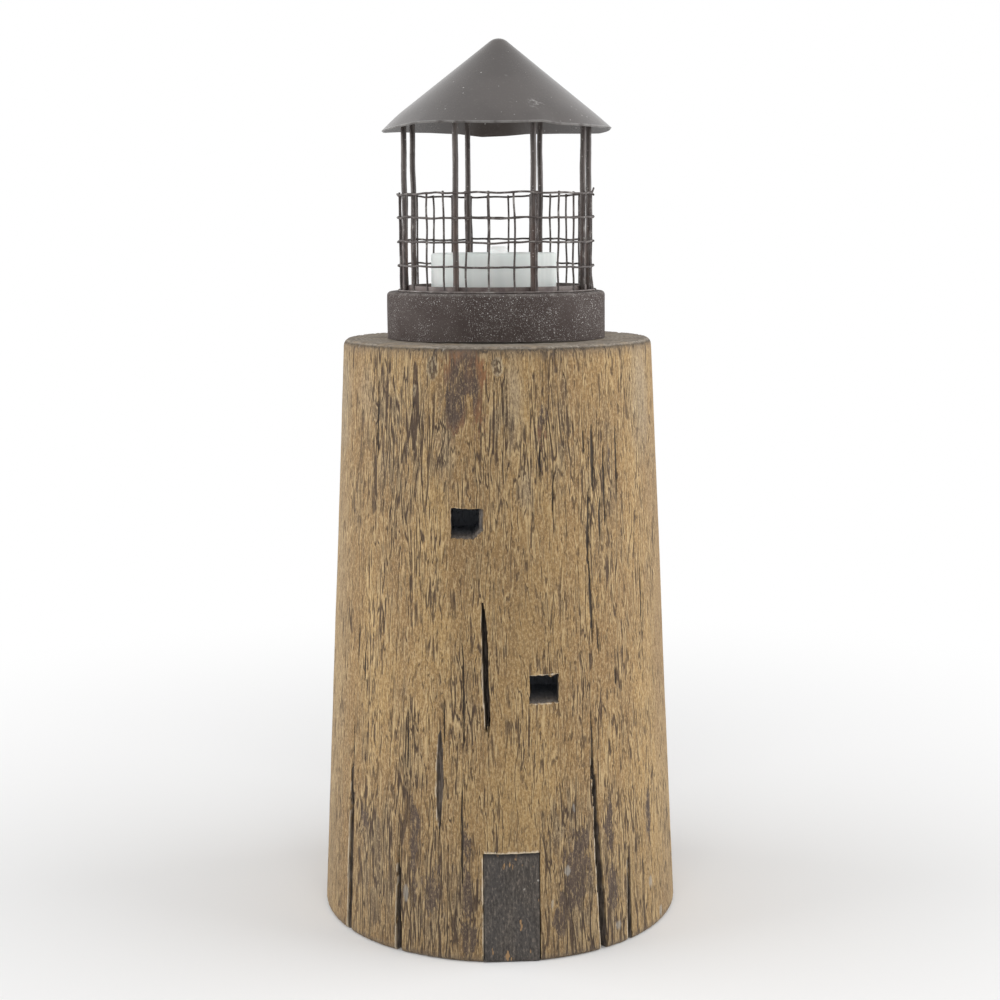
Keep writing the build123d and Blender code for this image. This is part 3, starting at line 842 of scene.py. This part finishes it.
def door_board():
    bm = bmesh.new()
    bmesh.ops.create_grid(bm, x_segments=44, y_segments=88, size=0.5)
    bmesh.ops.scale(bm, vec=(door_width, door_height - door_foot_gap, 1), verts=bm.verts)
    bmesh.ops.translate(bm, vec=(0, (door_height + door_foot_gap) / 2, 0), verts=bm.verts)
    rim = [e for e in bm.edges if e.is_boundary]
    made = bmesh.ops.extrude_edge_only(bm, edges=rim)["geom"]
    behind = [v for v in made if isinstance(v, bmesh.types.BMVert)]
    bmesh.ops.translate(bm, vec=(0, 0, -door_thickness), verts=behind)
    bmesh.ops.holes_fill(bm, edges=[e for e in bm.edges if e.is_boundary], sides=0)
    bmesh.ops.bevel(
        bm, geom=[e for e in rim if e.is_valid], offset=arris_width, segments=2, profile=0.5,
        affect="EDGES", material=-1,
    )
    bmesh.ops.recalc_face_normals(bm, faces=bm.faces)
    for vert in bm.verts:
        x, level, front = vert.co
        if front > -1 * MM:
            front -= brush_depth * (1 - noise.noise((x / (1.2 * MM), level / (14 * MM), 0)))
        vert.co = door_turn @ Vector((x, -(tower_radius(level) - door_setback + front), level))
    return bm


def specks(finish, size, share):
    """Pale specks: 1 in the middle of the few cells that a random number picks."""
    sockets = {"Vector": finish.place, "Scale": 1 / size, "Randomness": 1.0}
    cells = finish.node("ShaderNodeTexVoronoi", {}, sockets, "Distance")
    pick = finish.node("ShaderNodeTexVoronoi", {}, sockets, "Color")
    chance = finish.node("ShaderNodeSeparateColor", {}, {0: pick}, "Red")
    return chance.rise(1 - share, 1 - share + 0.02) * (1 - cells.rise(0.18, 0.42))


def door_paint():
    paint = Finish("door_paint", specular_ior_level=0.35)
    brush = paint.noise(0.0013, 3.0, 0.65, 0.08)
    grit = paint.noise(0.001, 2.0, 0.7, 0.4)
    cloud = paint.noise(0.014, 3.0, up=0.5)
    level = paint.level()
    paint.colour = paint.blend(brush.rise(0.35, 0.68), (0.048, 0.04, 0.034), (0.1, 0.086, 0.073))
    paint.coat(cloud.rise(0.4, 0.65) * 0.5, (0.062, 0.057, 0.055))
    paint.coat((1 - grit).rise(0.5, 0.66) * 0.75, (0.026, 0.022, 0.019))
    paint.coat(grit.rise(0.54, 0.7) * 0.65, (0.2, 0.165, 0.135))
    often = level.rise(0.044, 0.056) * 0.1 + (1 - level.rise(0.004, 0.032)) * 0.09
    chipped = (paint.noise(0.0028, up=0.3) + often).rise(0.7, 0.73)
    paint.coat(chipped, (0.33, 0.2, 0.095))
    paint.coat(specks(paint, 0.0018, 0.012), (0.5, 0.47, 0.42))
    # Painted shadow: the top 3 mm of the door are darkened as if shaded by the head of the recess.
    paint.coat(level.rise(0.0545, 0.0575) * 0.8, (0.012, 0.01, 0.01))
    height = brush * 0.4 + grit * 0.3 - chipped * 0.5
    return paint.seal(0.5 + brush * 0.25, height, 0.35 * MM, 0.7)


piece("door_board", door_board(), door_paint(), "tower", "door_paint", "door_panel", crease=35)

# %% [markdown]
# ## Painted tin
# Drum, hoops and posts were dipped in one dark brown paint, and dust has dried on it as a fine
# pale powder with a few larger specks. The powder is the crest of a fine noise, which gives marks
# of many shapes, and it is thicker in some places than in others.

# %% Painted tin
def drum_paint():
    paint = Finish("lantern_paint", specular_ior_level=0.1)
    cloud = paint.noise(0.02, 3.0, 0.6).rise(0.35, 0.65)
    rub = paint.noise(0.004, 4.0, 0.7)
    paint.colour = paint.blend(cloud, (0.061, 0.047, 0.043), (0.078, 0.063, 0.058))
    paint.coat(rub.rise(0.5, 0.75) * 0.35, (0.125, 0.105, 0.098))
    thick = paint.noise(0.022).rise(0.36, 0.58)
    powder = paint.noise(0.0005, 2.0, 0.75, 0.8)
    dust = (powder + thick * 0.06).rise(0.645, 0.725) * 0.6
    dust = dust.most(specks(paint, 0.0008, 0.075) * (thick * 0.8 + 0.2))
    dust = dust.most(specks(paint, 0.0012, 0.008))
    paint.coat(dust * 0.85, (0.72, 0.7, 0.67))
    # A pale broken line along the drum's rounded top edge: worn paint, and painted highlight where
    # the edge catches the light.
    worn_and_highlight = paint.level().rise(0.3412, 0.3426) * rub.rise(0.36, 0.56)
    paint.coat(worn_and_highlight * 0.25, (0.4, 0.375, 0.35))
    return paint.seal(0.62 + rub * 0.2, rub * 0.5 + dust * 0.3, 0.25 * MM, 0.5)


drum_finish = drum_paint()
print("paint has", len(drum_finish.tree.nodes), "nodes")

# %% [markdown]
# ## The drum
# The lantern stands on a shallow drum of tin with a flange turned inwards at the top, where the
# wire and the posts are fixed. Its outline is spun like the log. The lower edge is lifted by
# less than a millimetre at the front, because tin never lies quite flat on a sawn log.

# %% Make the drum
drum_radius = 59.17 * MM
drum_low = tower_height
drum_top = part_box("lantern_base")[1].z
drum_round = 2.2 * MM
drum_steps = 240
tin = 1.2 * MM
flange_inner = 44 * MM
drum_shift = -0.7 * MM
foot_lift, lift_reach = 0.7 * MM, 6 * MM


def drum_outline():
    corner, shoulder = drum_radius - drum_round, drum_top - drum_round
    outline = [(drum_radius, level) for level in np.linspace(drum_low, shoulder, 14)]
    outline += arc_points(corner, shoulder, drum_round, 0, 90, 7)[1:]
    outline += [(radius, drum_top) for radius in np.linspace(corner, flange_inner, 6)[1:]]
    outline += [(flange_inner, drum_top - tin), (corner - tin, drum_top - tin)]
    return outline + [(drum_radius - tin, shoulder), (drum_radius - tin, drum_low)]


def make_drum():
    bm = spin_outline(drum_outline(), drum_steps, closed=True)
    for vert in bm.verts:
        place = vert.co
        bearing = math.degrees(math.atan2(place.x, -place.y))
        dent = noise.noise(place / (24 * MM)) * 0.35 + noise.noise(place / (7 * MM)) * 0.08
        near_foot = max(0, 1 - (place.z - drum_low) / lift_reach)
        lift = foot_lift * near_foot * math.exp(-(((bearing - 1) / 34) ** 4))
        out = Vector((place.x, place.y, 0)).normalized()
        vert.co = place + out * dent * MM + Vector((drum_shift, 0, lift))
    return bm


piece("drum", make_drum(), drum_finish, "tower", "lantern_paint", "lantern_base")

# %% [markdown]
# ## Bars and wires
# Posts and mesh are drawn wire: a round section that follows a line. One function lays rings
# of vertices along a list of points and joins them by extruding the last ring again and again.
# A curve object with a bevel would give the same tube, but here every ring can have its own
# radius, which lets a bar be hammered or a wire have a weld.

# %% Bars and wires
def sweep(bm, path, radii, sides, across):
    """Add a closed round bar along a path that never runs along the across vector."""
    ring = None
    for index, point in enumerate(path):
        ahead = (path[min(index + 1, len(path) - 1)] - path[max(index - 1, 0)]).normalized()
        side = Vector(across).cross(ahead).normalized()
        turn = Matrix((side, ahead.cross(side), ahead)).transposed()
        if ring is None:
            made = bmesh.ops.create_circle(bm, cap_ends=True, segments=sides, radius=radii[0])
            ring = made["verts"]
            circle = [v.co / radii[0] for v in ring]
            edges = list({e for v in ring for e in v.link_edges})
        else:
            made = bmesh.ops.extrude_edge_only(bm, edges=edges)["geom"]
            edges = [e for e in made if isinstance(e, bmesh.types.BMEdge) and e.is_boundary]
            fresh = {v for v in made if isinstance(v, bmesh.types.BMVert)}
            ahead_of = [[e.other_vert(v) for e in v.link_edges] for v in ring]
            ring = [next(v for v in others if v in fresh) for others in ahead_of]
        for vert, spot in zip(ring, circle):
            vert.co = point + turn @ (spot * radii[index])
    bmesh.ops.contextual_create(bm, geom=edges)
    bmesh.ops.recalc_face_normals(bm, faces=bm.faces)


print("bars can be swept")

# %% [markdown]
# ## The posts
# Eight bars carry the roof. They were cut from soft rod and welded by eye, so their spacing is
# uneven; each one is also a little bent and hammered here. Their paint has run and rubbed along
# their length, so its noise is stretched upwards, and the pale rubbed streaks also stand in for
# the highlights along the round bars: partly painted highlight.

# %% Make the posts
post_count = 8
post_radius = 1.6 * MM
post_rings = 44
post_sides = 18
post_bow = 0.5 * MM


def make_post(number):
    low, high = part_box(f"post_{number}")
    x, y = (low.x + high.x) / 2, (low.y + high.y) / 2
    bm = bmesh.new()
    path, radii = [], []
    for share in np.linspace(0, 1, post_rings):
        bow = math.sin(math.pi * share) * post_bow
        sway = noise.noise_vector((number * 7.3, share * 5, 0)) * bow
        path.append(Vector((x + sway.x, y + sway.y, low.z + (high.z - low.z) * share)))
        radii.append(post_radius * (1 - 0.05 * (1 + noise.noise((number, share * 30, 0)))))
    sweep(bm, path, radii, post_sides, (1, 0, 0))
    return bm


def post_paint():
    paint = Finish("post_paint", specular_ior_level=0.5)
    run = paint.noise(0.0012, 3.0, 0.6, 0.05)
    cloud = paint.noise(0.009, 3.0, 0.6)
    paint.colour = paint.blend(run.rise(0.4, 0.68), (0.045, 0.034, 0.03), (0.105, 0.085, 0.075))
    rusty = (1 - paint.level().rise(0.36, 0.4)) * cloud.rise(0.35, 0.6)
    paint.coat(rusty * 0.55, (0.085, 0.042, 0.028))
    # Pale rubbed streaks, which are also painted highlight along the bars.
    rubbed_and_highlight = paint.noise(0.0011, 3.0, 0.7, 0.12).rise(0.58, 0.7) * cloud.rise(0.42, 0.6)
    paint.coat(rubbed_and_highlight * 0.5, (0.3, 0.27, 0.24))
    paint.coat(specks(paint, 0.0011, 0.07) * 0.55, (0.5, 0.47, 0.44))
    return paint.seal(0.32 + cloud * 0.25, run * 0.5 + rubbed_and_highlight * 0.3, 0.25 * MM, 0.6)


post_finish = post_paint()
for number in range(1, post_count + 1):
    bar = make_post(number)
    piece(f"lantern_bar_{number}", bar, post_finish, "tower", "lantern_paint", f"post_{number}")

# %% [markdown]
# ## The wire cage
# Round the posts goes a strip of welded half-inch mesh: uprights against the posts and five
# rows outside them. Cut mesh is never true, so one noise field bends rows and uprights together,
# which keeps them touching at every weld. At the back the strip is hitched up a little, and at the
# right, where its ends stick out, it is pulled in.

# %% Make the cage
wire_radius = 0.53 * MM
wire_sides = 8
upright_circle = 52.33 * MM
row_circle = 53.44 * MM
row_count = 5
row_rings, upright_rings = 200, 30
mesh_pitch = 12.7 * MM
lowest_row = drum_top + 0.6 * MM
cage_height = (row_count - 1) * mesh_pitch
upright_bearings = (
    74, 62, 50, 37.5, 23.5, 10, -4.5, -17.5, -31.5, -44, -57, -70, -83, -96, -109, -122, -137,
    -151, -164, -174.5, -187, -201, -215, -228, -241, -254, -267,
)
row_stub = 3.0
long_stub = 2.5
stub_hook = 0.45 * MM
lean_start, lean_reach = 0.375, 0.02


def bent(bearing, radius, level):
    """A place of the cage, moved with the bends of the mesh; the foot is held by the drum."""
    free = min(1, (level - lowest_row) / (8 * MM))
    bend = noise.noise_vector((bearing / 17, level / (21 * MM), 2.0))
    kink = noise.noise_vector((bearing / 6, level / (9 * MM), 8.0))
    turn = free * (0.75 * bend.x + 0.25 * kink.x) * MM / radius
    to_right = math.sin(math.radians(bearing)) ** 9
    radius += free * (0.5 * abs(bend.y) - 1.2 * max(0, to_right)) * MM
    height = (level - lowest_row) / cage_height
    behind = 0.5 - 0.5 * math.cos(math.radians(bearing))
    hitched = 1.6 * math.sin(math.pi * min(1, height)) * behind
    rise = free * (0.9 * bend.z + 0.35 * kink.z) + hitched
    return on_bearing(bearing + math.degrees(turn), radius, level + rise * MM)


def make_row(row):
    level = lowest_row + row * mesh_pitch
    first = upright_bearings[0] + row_stub + (long_stub if row in (1, 4) else 0.0)
    last = upright_bearings[-1] - row_stub
    bm = bmesh.new()
    path, radii = [], []
    for bearing in np.linspace(first, last, row_rings):
        hook = max(0, bearing - upright_bearings[0] + 1) * (stub_hook if row == 4 else 0.0)
        path.append(bent(bearing, row_circle, level) + Vector((0, 0, hook)))
        to_weld = min(abs(bearing - upright) for upright in upright_bearings)
        radii.append(wire_radius * (1 + 0.22 * math.exp(-(to_weld**2))))
    sweep(bm, path, radii, wire_sides, (0, 0, 1))
    return bm


def make_uprights():
    bm = bmesh.new()
    for upright, bearing in enumerate(upright_bearings):
        nub = (0.9 + 0.7 * noise.noise((upright * 3.7, 0, 0))) * MM
        top = lowest_row + cage_height + nub
        path, radii = [], []
        for level in np.linspace(lowest_row - 0.5 * MM, top, upright_rings):
            lean = 0.9 * max(0, (level - lean_start) / lean_reach) if upright == 0 else 0.0
            path.append(bent(bearing + lean, upright_circle, level))
            rows = (level - lowest_row) / mesh_pitch
            to_weld = abs(rows - round(rows))
            radii.append(wire_radius * (1 + 0.2 * math.exp(-((to_weld / 0.08) ** 2))))
        sweep(bm, path, radii, wire_sides, (1, 0, 0))
    return bm


def wire_paint(name, dark, pale):
    paint = Finish(name, specular_ior_level=0.5)
    patch = paint.noise(0.005, 3.0, 0.6)
    fine = paint.noise(0.0009, 3.0, 0.6)
    paint.colour = paint.blend(patch.rise(0.4, 0.62), dark, pale)
    # Pale patches of worn paint, made half metallic, which also stand in for highlights on the
    # wires: partly painted highlight.
    worn_and_highlight = (patch + fine * 0.5).rise(0.8, 0.95)
    paint.coat(worn_and_highlight * 0.75, (0.3, 0.285, 0.27))
    paint.wear(metallic=worn_and_highlight * 0.5)
    return paint.seal(0.42 + fine * 0.25, fine, 0.15 * MM, 0.5)


wire_finish = wire_paint("mesh_wire", (0.04, 0.029, 0.026), (0.085, 0.068, 0.062))
# The lowest row is painted over with the drum, and coloured lighter than the drum paint to cancel
# the shade where it sits on the flange: painted light.
painted_over_and_lit = wire_paint("mesh_wire_painted_and_lit", (0.1, 0.08, 0.073), (0.19, 0.16, 0.148))
for row in range(row_count):
    finish, node = wire_finish if row else painted_over_and_lit, f"mesh_row_{row + 1}"
    piece(f"cage_row_{row + 1}", make_row(row), finish, "tower", "mesh_wire", node)
piece("cage_uprights", make_uprights(), wire_finish, "tower", "mesh_wire", "mesh_upright_wires")

# %% [markdown]
# ## The roof
# The roof is a cone of thin tin, rolled from one sheet and lapped at the back, which only rests
# on the posts. Its rim has been bent by handling: the table below gives how far it rises or dips,
# in millimetres, at bearings round it. Only the overhang is bent, so the posts still carry it.

# %% Make the roof
rim_radius = 60.97 * MM
roof_rise = 48.3 * MM
roof_slope = math.atan2(roof_rise, rim_radius)
roof_steps = 288
roof_tin = 1.0 * MM
tip_round = 6.7 * MM
tip_lean = 1.3 * MM
rim_level = 429.0 * MM
lap_bearing, lap_reach, lap_steps = 176.5, 7.0, 6
lap_start = 12 * MM
bend_start, bend_reach = 51.5 * MM, 9.5 * MM
rim_bends = (
    (-180, -0.4), (-172, -0.7), (-160, 0.7), (-142, 1.0), (-119, 0.5), (-100, -1.0), (-88, -1.5),
    (-70, -1.5), (-54, -0.7), (-41, 0.4), (-28, 0.4), (-17, 0.0), (0, -0.4), (12, -0.2), (23, 0.2),
    (31, -0.9), (46, -0.9), (61, -1.0), (86, -0.3), (112, -1.2), (144, 0.3), (163, 0.8),
    (175, -0.2), (180, -0.4),
)
scuff_place = (0.0205, -0.0468, 0.4415)


def roof_outline(inside, outside, innermost=0.0):
    """Outline of the sheet between two distances from its underside."""
    across, up = math.sin(roof_slope), math.cos(roof_slope)
    tip_level = rim_level + (rim_radius - tip_round * across) * math.tan(roof_slope)
    tip_level -= tip_round * up

    def face(offset):
        radius = tip_round + offset
        angles = np.linspace(0, roof_slope, 8)
        points = [(radius * math.sin(a), tip_level + radius * math.cos(a)) for a in angles]
        start = np.array(points[-1])
        end = np.array((rim_radius + offset * across, rim_level + offset * up))
        points += [tuple(start + (end - start) * share) for share in np.linspace(0, 1, 26)[1:]]
        return [point for point in points if point[0] >= innermost]

    return face(outside) + face(inside)[::-1]


def make_roof():
    bm = spin_outline(roof_outline(0, roof_tin), roof_steps)
    outline = roof_outline(0.85 * roof_tin, 1.85 * roof_tin, lap_start)
    lap = spin_outline(outline, lap_steps, lap_bearing, lap_reach, closed=True)
    bmesh.ops.holes_fill(lap, edges=[e for e in lap.edges if e.is_boundary], sides=0)
    flap = bpy.data.meshes.new("flap")
    lap.to_mesh(flap)
    lap.free()
    bm.from_mesh(flap)
    bpy.data.meshes.remove(flap)
    bearings, bends = zip(*rim_bends)
    for vert in bm.verts:
        place = vert.co
        radius = math.hypot(place.x, place.y)
        bearing = math.degrees(math.atan2(place.x, -place.y))
        bend = float(np.interp(bearing, bearings, bends))
        overhang = max(0.0, radius - bend_start) / bend_reach
        buckle = 0.25 * noise.noise(place / (26 * MM)) * min(1, radius / (25 * MM))
        place.x += tip_lean * (place.z - rim_level) / roof_rise
        place.z += overhang**1.5 * bend * MM - (0.25 + buckle) * 0.4 * MM
    bmesh.ops.recalc_face_normals(bm, faces=bm.faces)
    return bm


def roof_paint():
    paint = Finish("roof_paint", specular_ior_level=0.75)
    cloud = paint.noise(0.035, 3.0, 0.55)
    fine = paint.noise(0.0012, 3.0, 0.65)
    paint.colour = paint.blend(cloud.rise(0.35, 0.65), (0.05, 0.04, 0.036), (0.068, 0.056, 0.051))
    paint.coat(fine.rise(0.55, 0.75) * 0.3, (0.15, 0.135, 0.128))
    dust = specks(paint, 0.0013, 0.025).most(specks(paint, 0.0026, 0.012))
    sockets = {0: paint.place, 1: scuff_place}
    scuff = paint.node("ShaderNodeVectorMath", {"operation": "DISTANCE"}, sockets, "Value")
    scratched = (1 - scuff.rise(0.001, 0.007)) * paint.noise(0.0016, 3.0, 0.7).rise(0.5, 0.62)
    # Painted highlight: a pale broken line along the outer edge of the rim.
    edge = paint.far(paint.stretch(1, 1, 0)).rise(60.8 * MM, 61.2 * MM)
    edge = edge * paint.noise(0.006, 3.0).rise(0.3, 0.6)
    paint.coat(dust.most(scratched).most(edge * 0.35) * 0.7, (0.5, 0.49, 0.47))
    return paint.seal(0.14 + fine * 0.12 + cloud * 0.08, fine + cloud * 2.0, 0.12 * MM, 0.35)


piece("tin_roof", make_roof(), roof_paint(), "roof", "roof_paint", "roof", crease=50)

# %% [markdown]
# ## The candle
# The light is an electric candle: a shell of frosted plastic with a sunk top and a small frosted
# dome over its lamp. Both are outlines spun round an axis, and it stands a little off centre.
# Frosted plastic lets light in and scatters it, which a little subsurface scattering gives
# without the noise of clear glass. Both also glow faintly in their own colour: painted light that
# brightens the plastic.

# %% Make the candle
candle_shift = Vector((-1.8 * MM, 0, 0))
candle_radius = 34 * MM
candle_bore = 31.8 * MM
candle_foot = tower_height
candle_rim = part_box("candle_shell")[1].z
candle_deck = candle_rim - 3 * MM
deck_under = candle_deck - 2 * MM
candle_steps, dome_steps = 128, 48
foot_ease = 0.4 * MM
rim_curve, lip_curve, deck_curve = 1.4 * MM, 0.5 * MM, 0.6 * MM
dome_radius = 5.0 * MM
dome_wall = 1.3 * MM
dome_round = 2.4 * MM
dome_shift = Vector((2.6 * MM, 0, 0))
dome_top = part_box("candle_flame")[1].z


def make_candle():
    shoulder = candle_rim - rim_curve
    wall = np.linspace(candle_foot + foot_ease, shoulder, 10)
    outline = [(candle_bore, candle_foot), (candle_radius - foot_ease, candle_foot)]
    outline += [(candle_radius, level) for level in wall]
    outline += arc_points(candle_radius - rim_curve, shoulder, rim_curve, 0, 90, 6)[1:]
    outline += arc_points(candle_bore + lip_curve, candle_rim - lip_curve, lip_curve, 90, 180, 4)
    outline += arc_points(
        candle_bore - deck_curve, candle_deck + deck_curve, -deck_curve, 180, 90, 4
    )
    outline += [(20 * MM, candle_deck), (0, candle_deck)]
    outline += [(0, deck_under), (candle_bore, deck_under)]
    return spin_outline(outline, candle_steps, closed=True)


def make_dome():
    shoulder = dome_top - dome_round
    outline = [(dome_radius - dome_wall, candle_deck), (dome_radius, candle_deck)]
    outline += [(dome_radius, shoulder)]
    outline += arc_points(dome_radius - dome_round, shoulder, dome_round, 0, 90, 7)[1:]
    return spin_outline(outline + [(0, dome_top)], dome_steps)


def frosted(name, thin, thick, light):
    """Frosted plastic: milky, with soft clouds and fine scratches; light sets a faint painted
    glow.
    """
    plastic = Finish(
        name, subsurface_weight=0.35, subsurface_radius=(0.006, 0.008, 0.008),
        subsurface_scale=1.0, specular_ior_level=0.4, emission_strength=light,
    )
    cloud = plastic.noise(0.012, up=0.15)
    fine = plastic.noise(0.0008, 3.0, 0.6)
    plastic.colour = plastic.blend(cloud.rise(0.35, 0.65), thin, thick)
    plastic.wear(emission_color=plastic.colour)
    return plastic.seal(0.42 + fine * 0.2, fine, 0.08 * MM, 0.3)


# The shell and dome glow faintly in their own colour, which is painted light.
candle_finish = frosted("candle_wax_plastic", (0.64, 0.68, 0.655), (0.76, 0.795, 0.77), 0.07)
dome_finish = frosted("flame_plastic", (0.80, 0.82, 0.81), (0.86, 0.87, 0.86), 0.22)
candle, dome = make_candle(), make_dome()
bmesh.ops.translate(candle, vec=candle_shift, verts=candle.verts)
bmesh.ops.translate(dome, vec=candle_shift + dome_shift, verts=dome.verts)
piece("candle_tumbler", candle, candle_finish, "candle", "candle_wax_plastic", "candle_shell")
piece("candle_dome", dome, dome_finish, "candle", "flame_plastic", "candle_flame")

# %% [markdown]
# ## Parts that keep their CAD shape
# Hoops, lugs, screws and the works of the candle have the right shape already, so they only get
# a material. One function makes each of them from two tones and a noise that mixes them. Rows
# of the table give name, dark and pale tone, size of the noise, roughness and how metallic the
# part is, and then the parts that get the material.

# %% Parts that keep their CAD shape
plain_finishes = (
    ("screw_steel", (0.32, 0.31, 0.3), (0.6, 0.6, 0.6), 0.0015, 0.38, 1.0,
     "lug_screws", "candle_base_screws"),
    ("base_plastic", (0.66, 0.66, 0.63), (0.74, 0.74, 0.72), 0.008, 0.5, 0.0,
     "candle_base", "battery_cap"),
    ("switch_plastic", (0.012, 0.012, 0.013), (0.03, 0.03, 0.032), 0.003, 0.4, 0.0,
     "switch_slider", "switch_body"),
    ("led_lens", (0.78, 0.55, 0.2), (0.9, 0.72, 0.38), 0.002, 0.25, 0.0, "candle_led"),
    ("circuit_board", (0.012, 0.1, 0.042), (0.025, 0.17, 0.075), 0.003, 0.4, 0.0, "candle_board"),
    ("cell_steel", (0.5, 0.5, 0.5), (0.66, 0.66, 0.65), 0.004, 0.3, 1.0, "candle_cell"),
    ("contact_brass", (0.55, 0.4, 0.17), (0.75, 0.58, 0.3), 0.003, 0.34, 1.0,
     "contact_positive", "contact_negative"),
    ("hoop_paint", (0.1, 0.075, 0.069), (0.21, 0.165, 0.152), 0.006, 0.5, 0.0,
     "lower_hoop", "upper_hoop"),
)


def two_tone(name, dark, pale, size, rough, metallic):
    finish = Finish(name, metallic=metallic)
    cloud = finish.noise(size, 4.0, 0.6)
    fine = finish.noise(size / 6, 3.0, 0.6)
    finish.colour = finish.blend((cloud * 0.7 + fine * 0.3).rise(0.35, 0.65), dark, pale)
    return finish.seal(rough + fine * 0.2 - 0.1, fine, 0.1 * MM, 0.4)


def dress(finish, *names):
    for name in names:
        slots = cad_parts[name].data.materials
        for index in range(len(slots)):
            slots[index] = finish.material
    print(finish.material.name, "on", ", ".join(names))


for name, dark, pale, size, rough, metallic, *names in plain_finishes:
    dress(two_tone(name, dark, pale, size, rough, metallic), *names)
dress(drum_finish, "base_lugs")

# %% [markdown]
# ## Floor and background
# The lighthouse stands on a pale floor that fades to white. Near the object the floor is plain
# matt white and takes its shadow; further out it glows at a strength of 1 for the camera only, so
# there is no horizon line and no extra light on the object.

# %% Floor and background
floor_radius, floor_edges = 9.0, 96
fade_start, fade_end = 0.1, 0.75
sky_strength = 0.42


def make_floor():
    bm = bmesh.new()
    bmesh.ops.create_circle(bm, cap_ends=True, segments=floor_edges, radius=floor_radius)
    mesh = bpy.data.meshes.new("floor")
    bm.to_mesh(mesh)
    bm.free()
    floor = bpy.data.objects.new("floor", mesh)
    bpy.context.scene.collection.objects.link(floor)
    matt = Finish("floor_matt", roughness=0.9, specular_ior_level=0.1)
    matt.wear(base_color=matt.blend(matt.noise(0.5), (0.86, 0.86, 0.86), (0.9, 0.9, 0.9)))
    seen = matt.node("ShaderNodeLightPath", {}, {}, "Is Camera Ray")
    glow = matt.node("ShaderNodeEmission", {}, {"Strength": 1.0})
    share = matt.far(matt.place).rise(fade_start, fade_end) * seen
    shaders = {0: share, 1: Flow(matt, matt.shader.outputs[0]), 2: glow}
    mixed = matt.node("ShaderNodeMixShader", {}, shaders)
    matt.join(matt.tree.nodes["Material Output"].inputs["Surface"], mixed)
    mesh.materials.append(matt.material)


def make_sky():
    world = bpy.data.worlds.new("studio")
    bpy.context.scene.world = world
    world.use_nodes = True
    nodes, links = world.node_tree.nodes, world.node_tree.links
    sky = nodes["Background"]
    sky.inputs["Color"].default_value = (1, 1, 1, 1)
    path = nodes.new("ShaderNodeLightPath")
    seen = nodes.new("ShaderNodeMath")
    seen.operation = "MAXIMUM"
    level = nodes.new("ShaderNodeMapRange")
    level.inputs["To Min"].default_value = sky_strength
    for index, ray in enumerate(("Is Camera Ray", "Is Glossy Ray")):
        links.new(path.outputs[ray], seen.inputs[index])
    links.new(seen.outputs[0], level.inputs["Value"])
    links.new(level.outputs["Result"], sky.inputs["Strength"])


make_floor()
make_sky()
print("floor and background set")

# %% [markdown]
# ## Light and camera
# The look is that of a small studio: a large soft box on each side and a weaker one in front and
# above, so the edges of round parts are lighter than their middles. The camera stands about a
# metre away and a little above the middle, with a lens that keeps the sides nearly upright.

# %% Light and camera
aim = Vector((0, 0, 0.3))
lamps = (
    ("left_box", (-1.45, -0.1, 0.65), 1.4, 18),
    ("right_box", (1.45, -0.1, 0.65), 1.4, 20.5),
    ("top_box", (0.0, -1.3, 1.6), 1.2, 8.5),
)
camera_place = (0.001, -0.93943, 0.37344)
camera_lens, camera_sensor = 61.695, 36.0
camera_dip, camera_roll = 0.154, math.radians(-0.26)


def soft_box(name, place, size, power):
    lamp = bpy.data.lights.new(name, "AREA")
    lamp.size = size
    lamp.energy = power
    box = bpy.data.objects.new(name, lamp)
    box.location = place
    box.rotation_euler = (aim - Vector(place)).to_track_quat("-Z", "Y").to_euler()
    bpy.context.scene.collection.objects.link(box)


for lamp in lamps:
    soft_box(*lamp)
camera = bpy.data.objects.new("camera", bpy.data.cameras.new("camera"))
camera.data.lens = camera_lens
camera.data.sensor_width = camera_sensor
camera.location = camera_place
dip = Matrix.Rotation(math.pi / 2 - camera_dip, 3, "X")
camera.rotation_euler = (dip @ Matrix.Rotation(camera_roll, 3, "Z")).to_euler()
bpy.context.scene.collection.objects.link(camera)
bpy.context.scene.camera = camera
bpy.context.scene.view_settings.view_transform = "Standard"
print(len(lamps), "soft boxes and a camera")
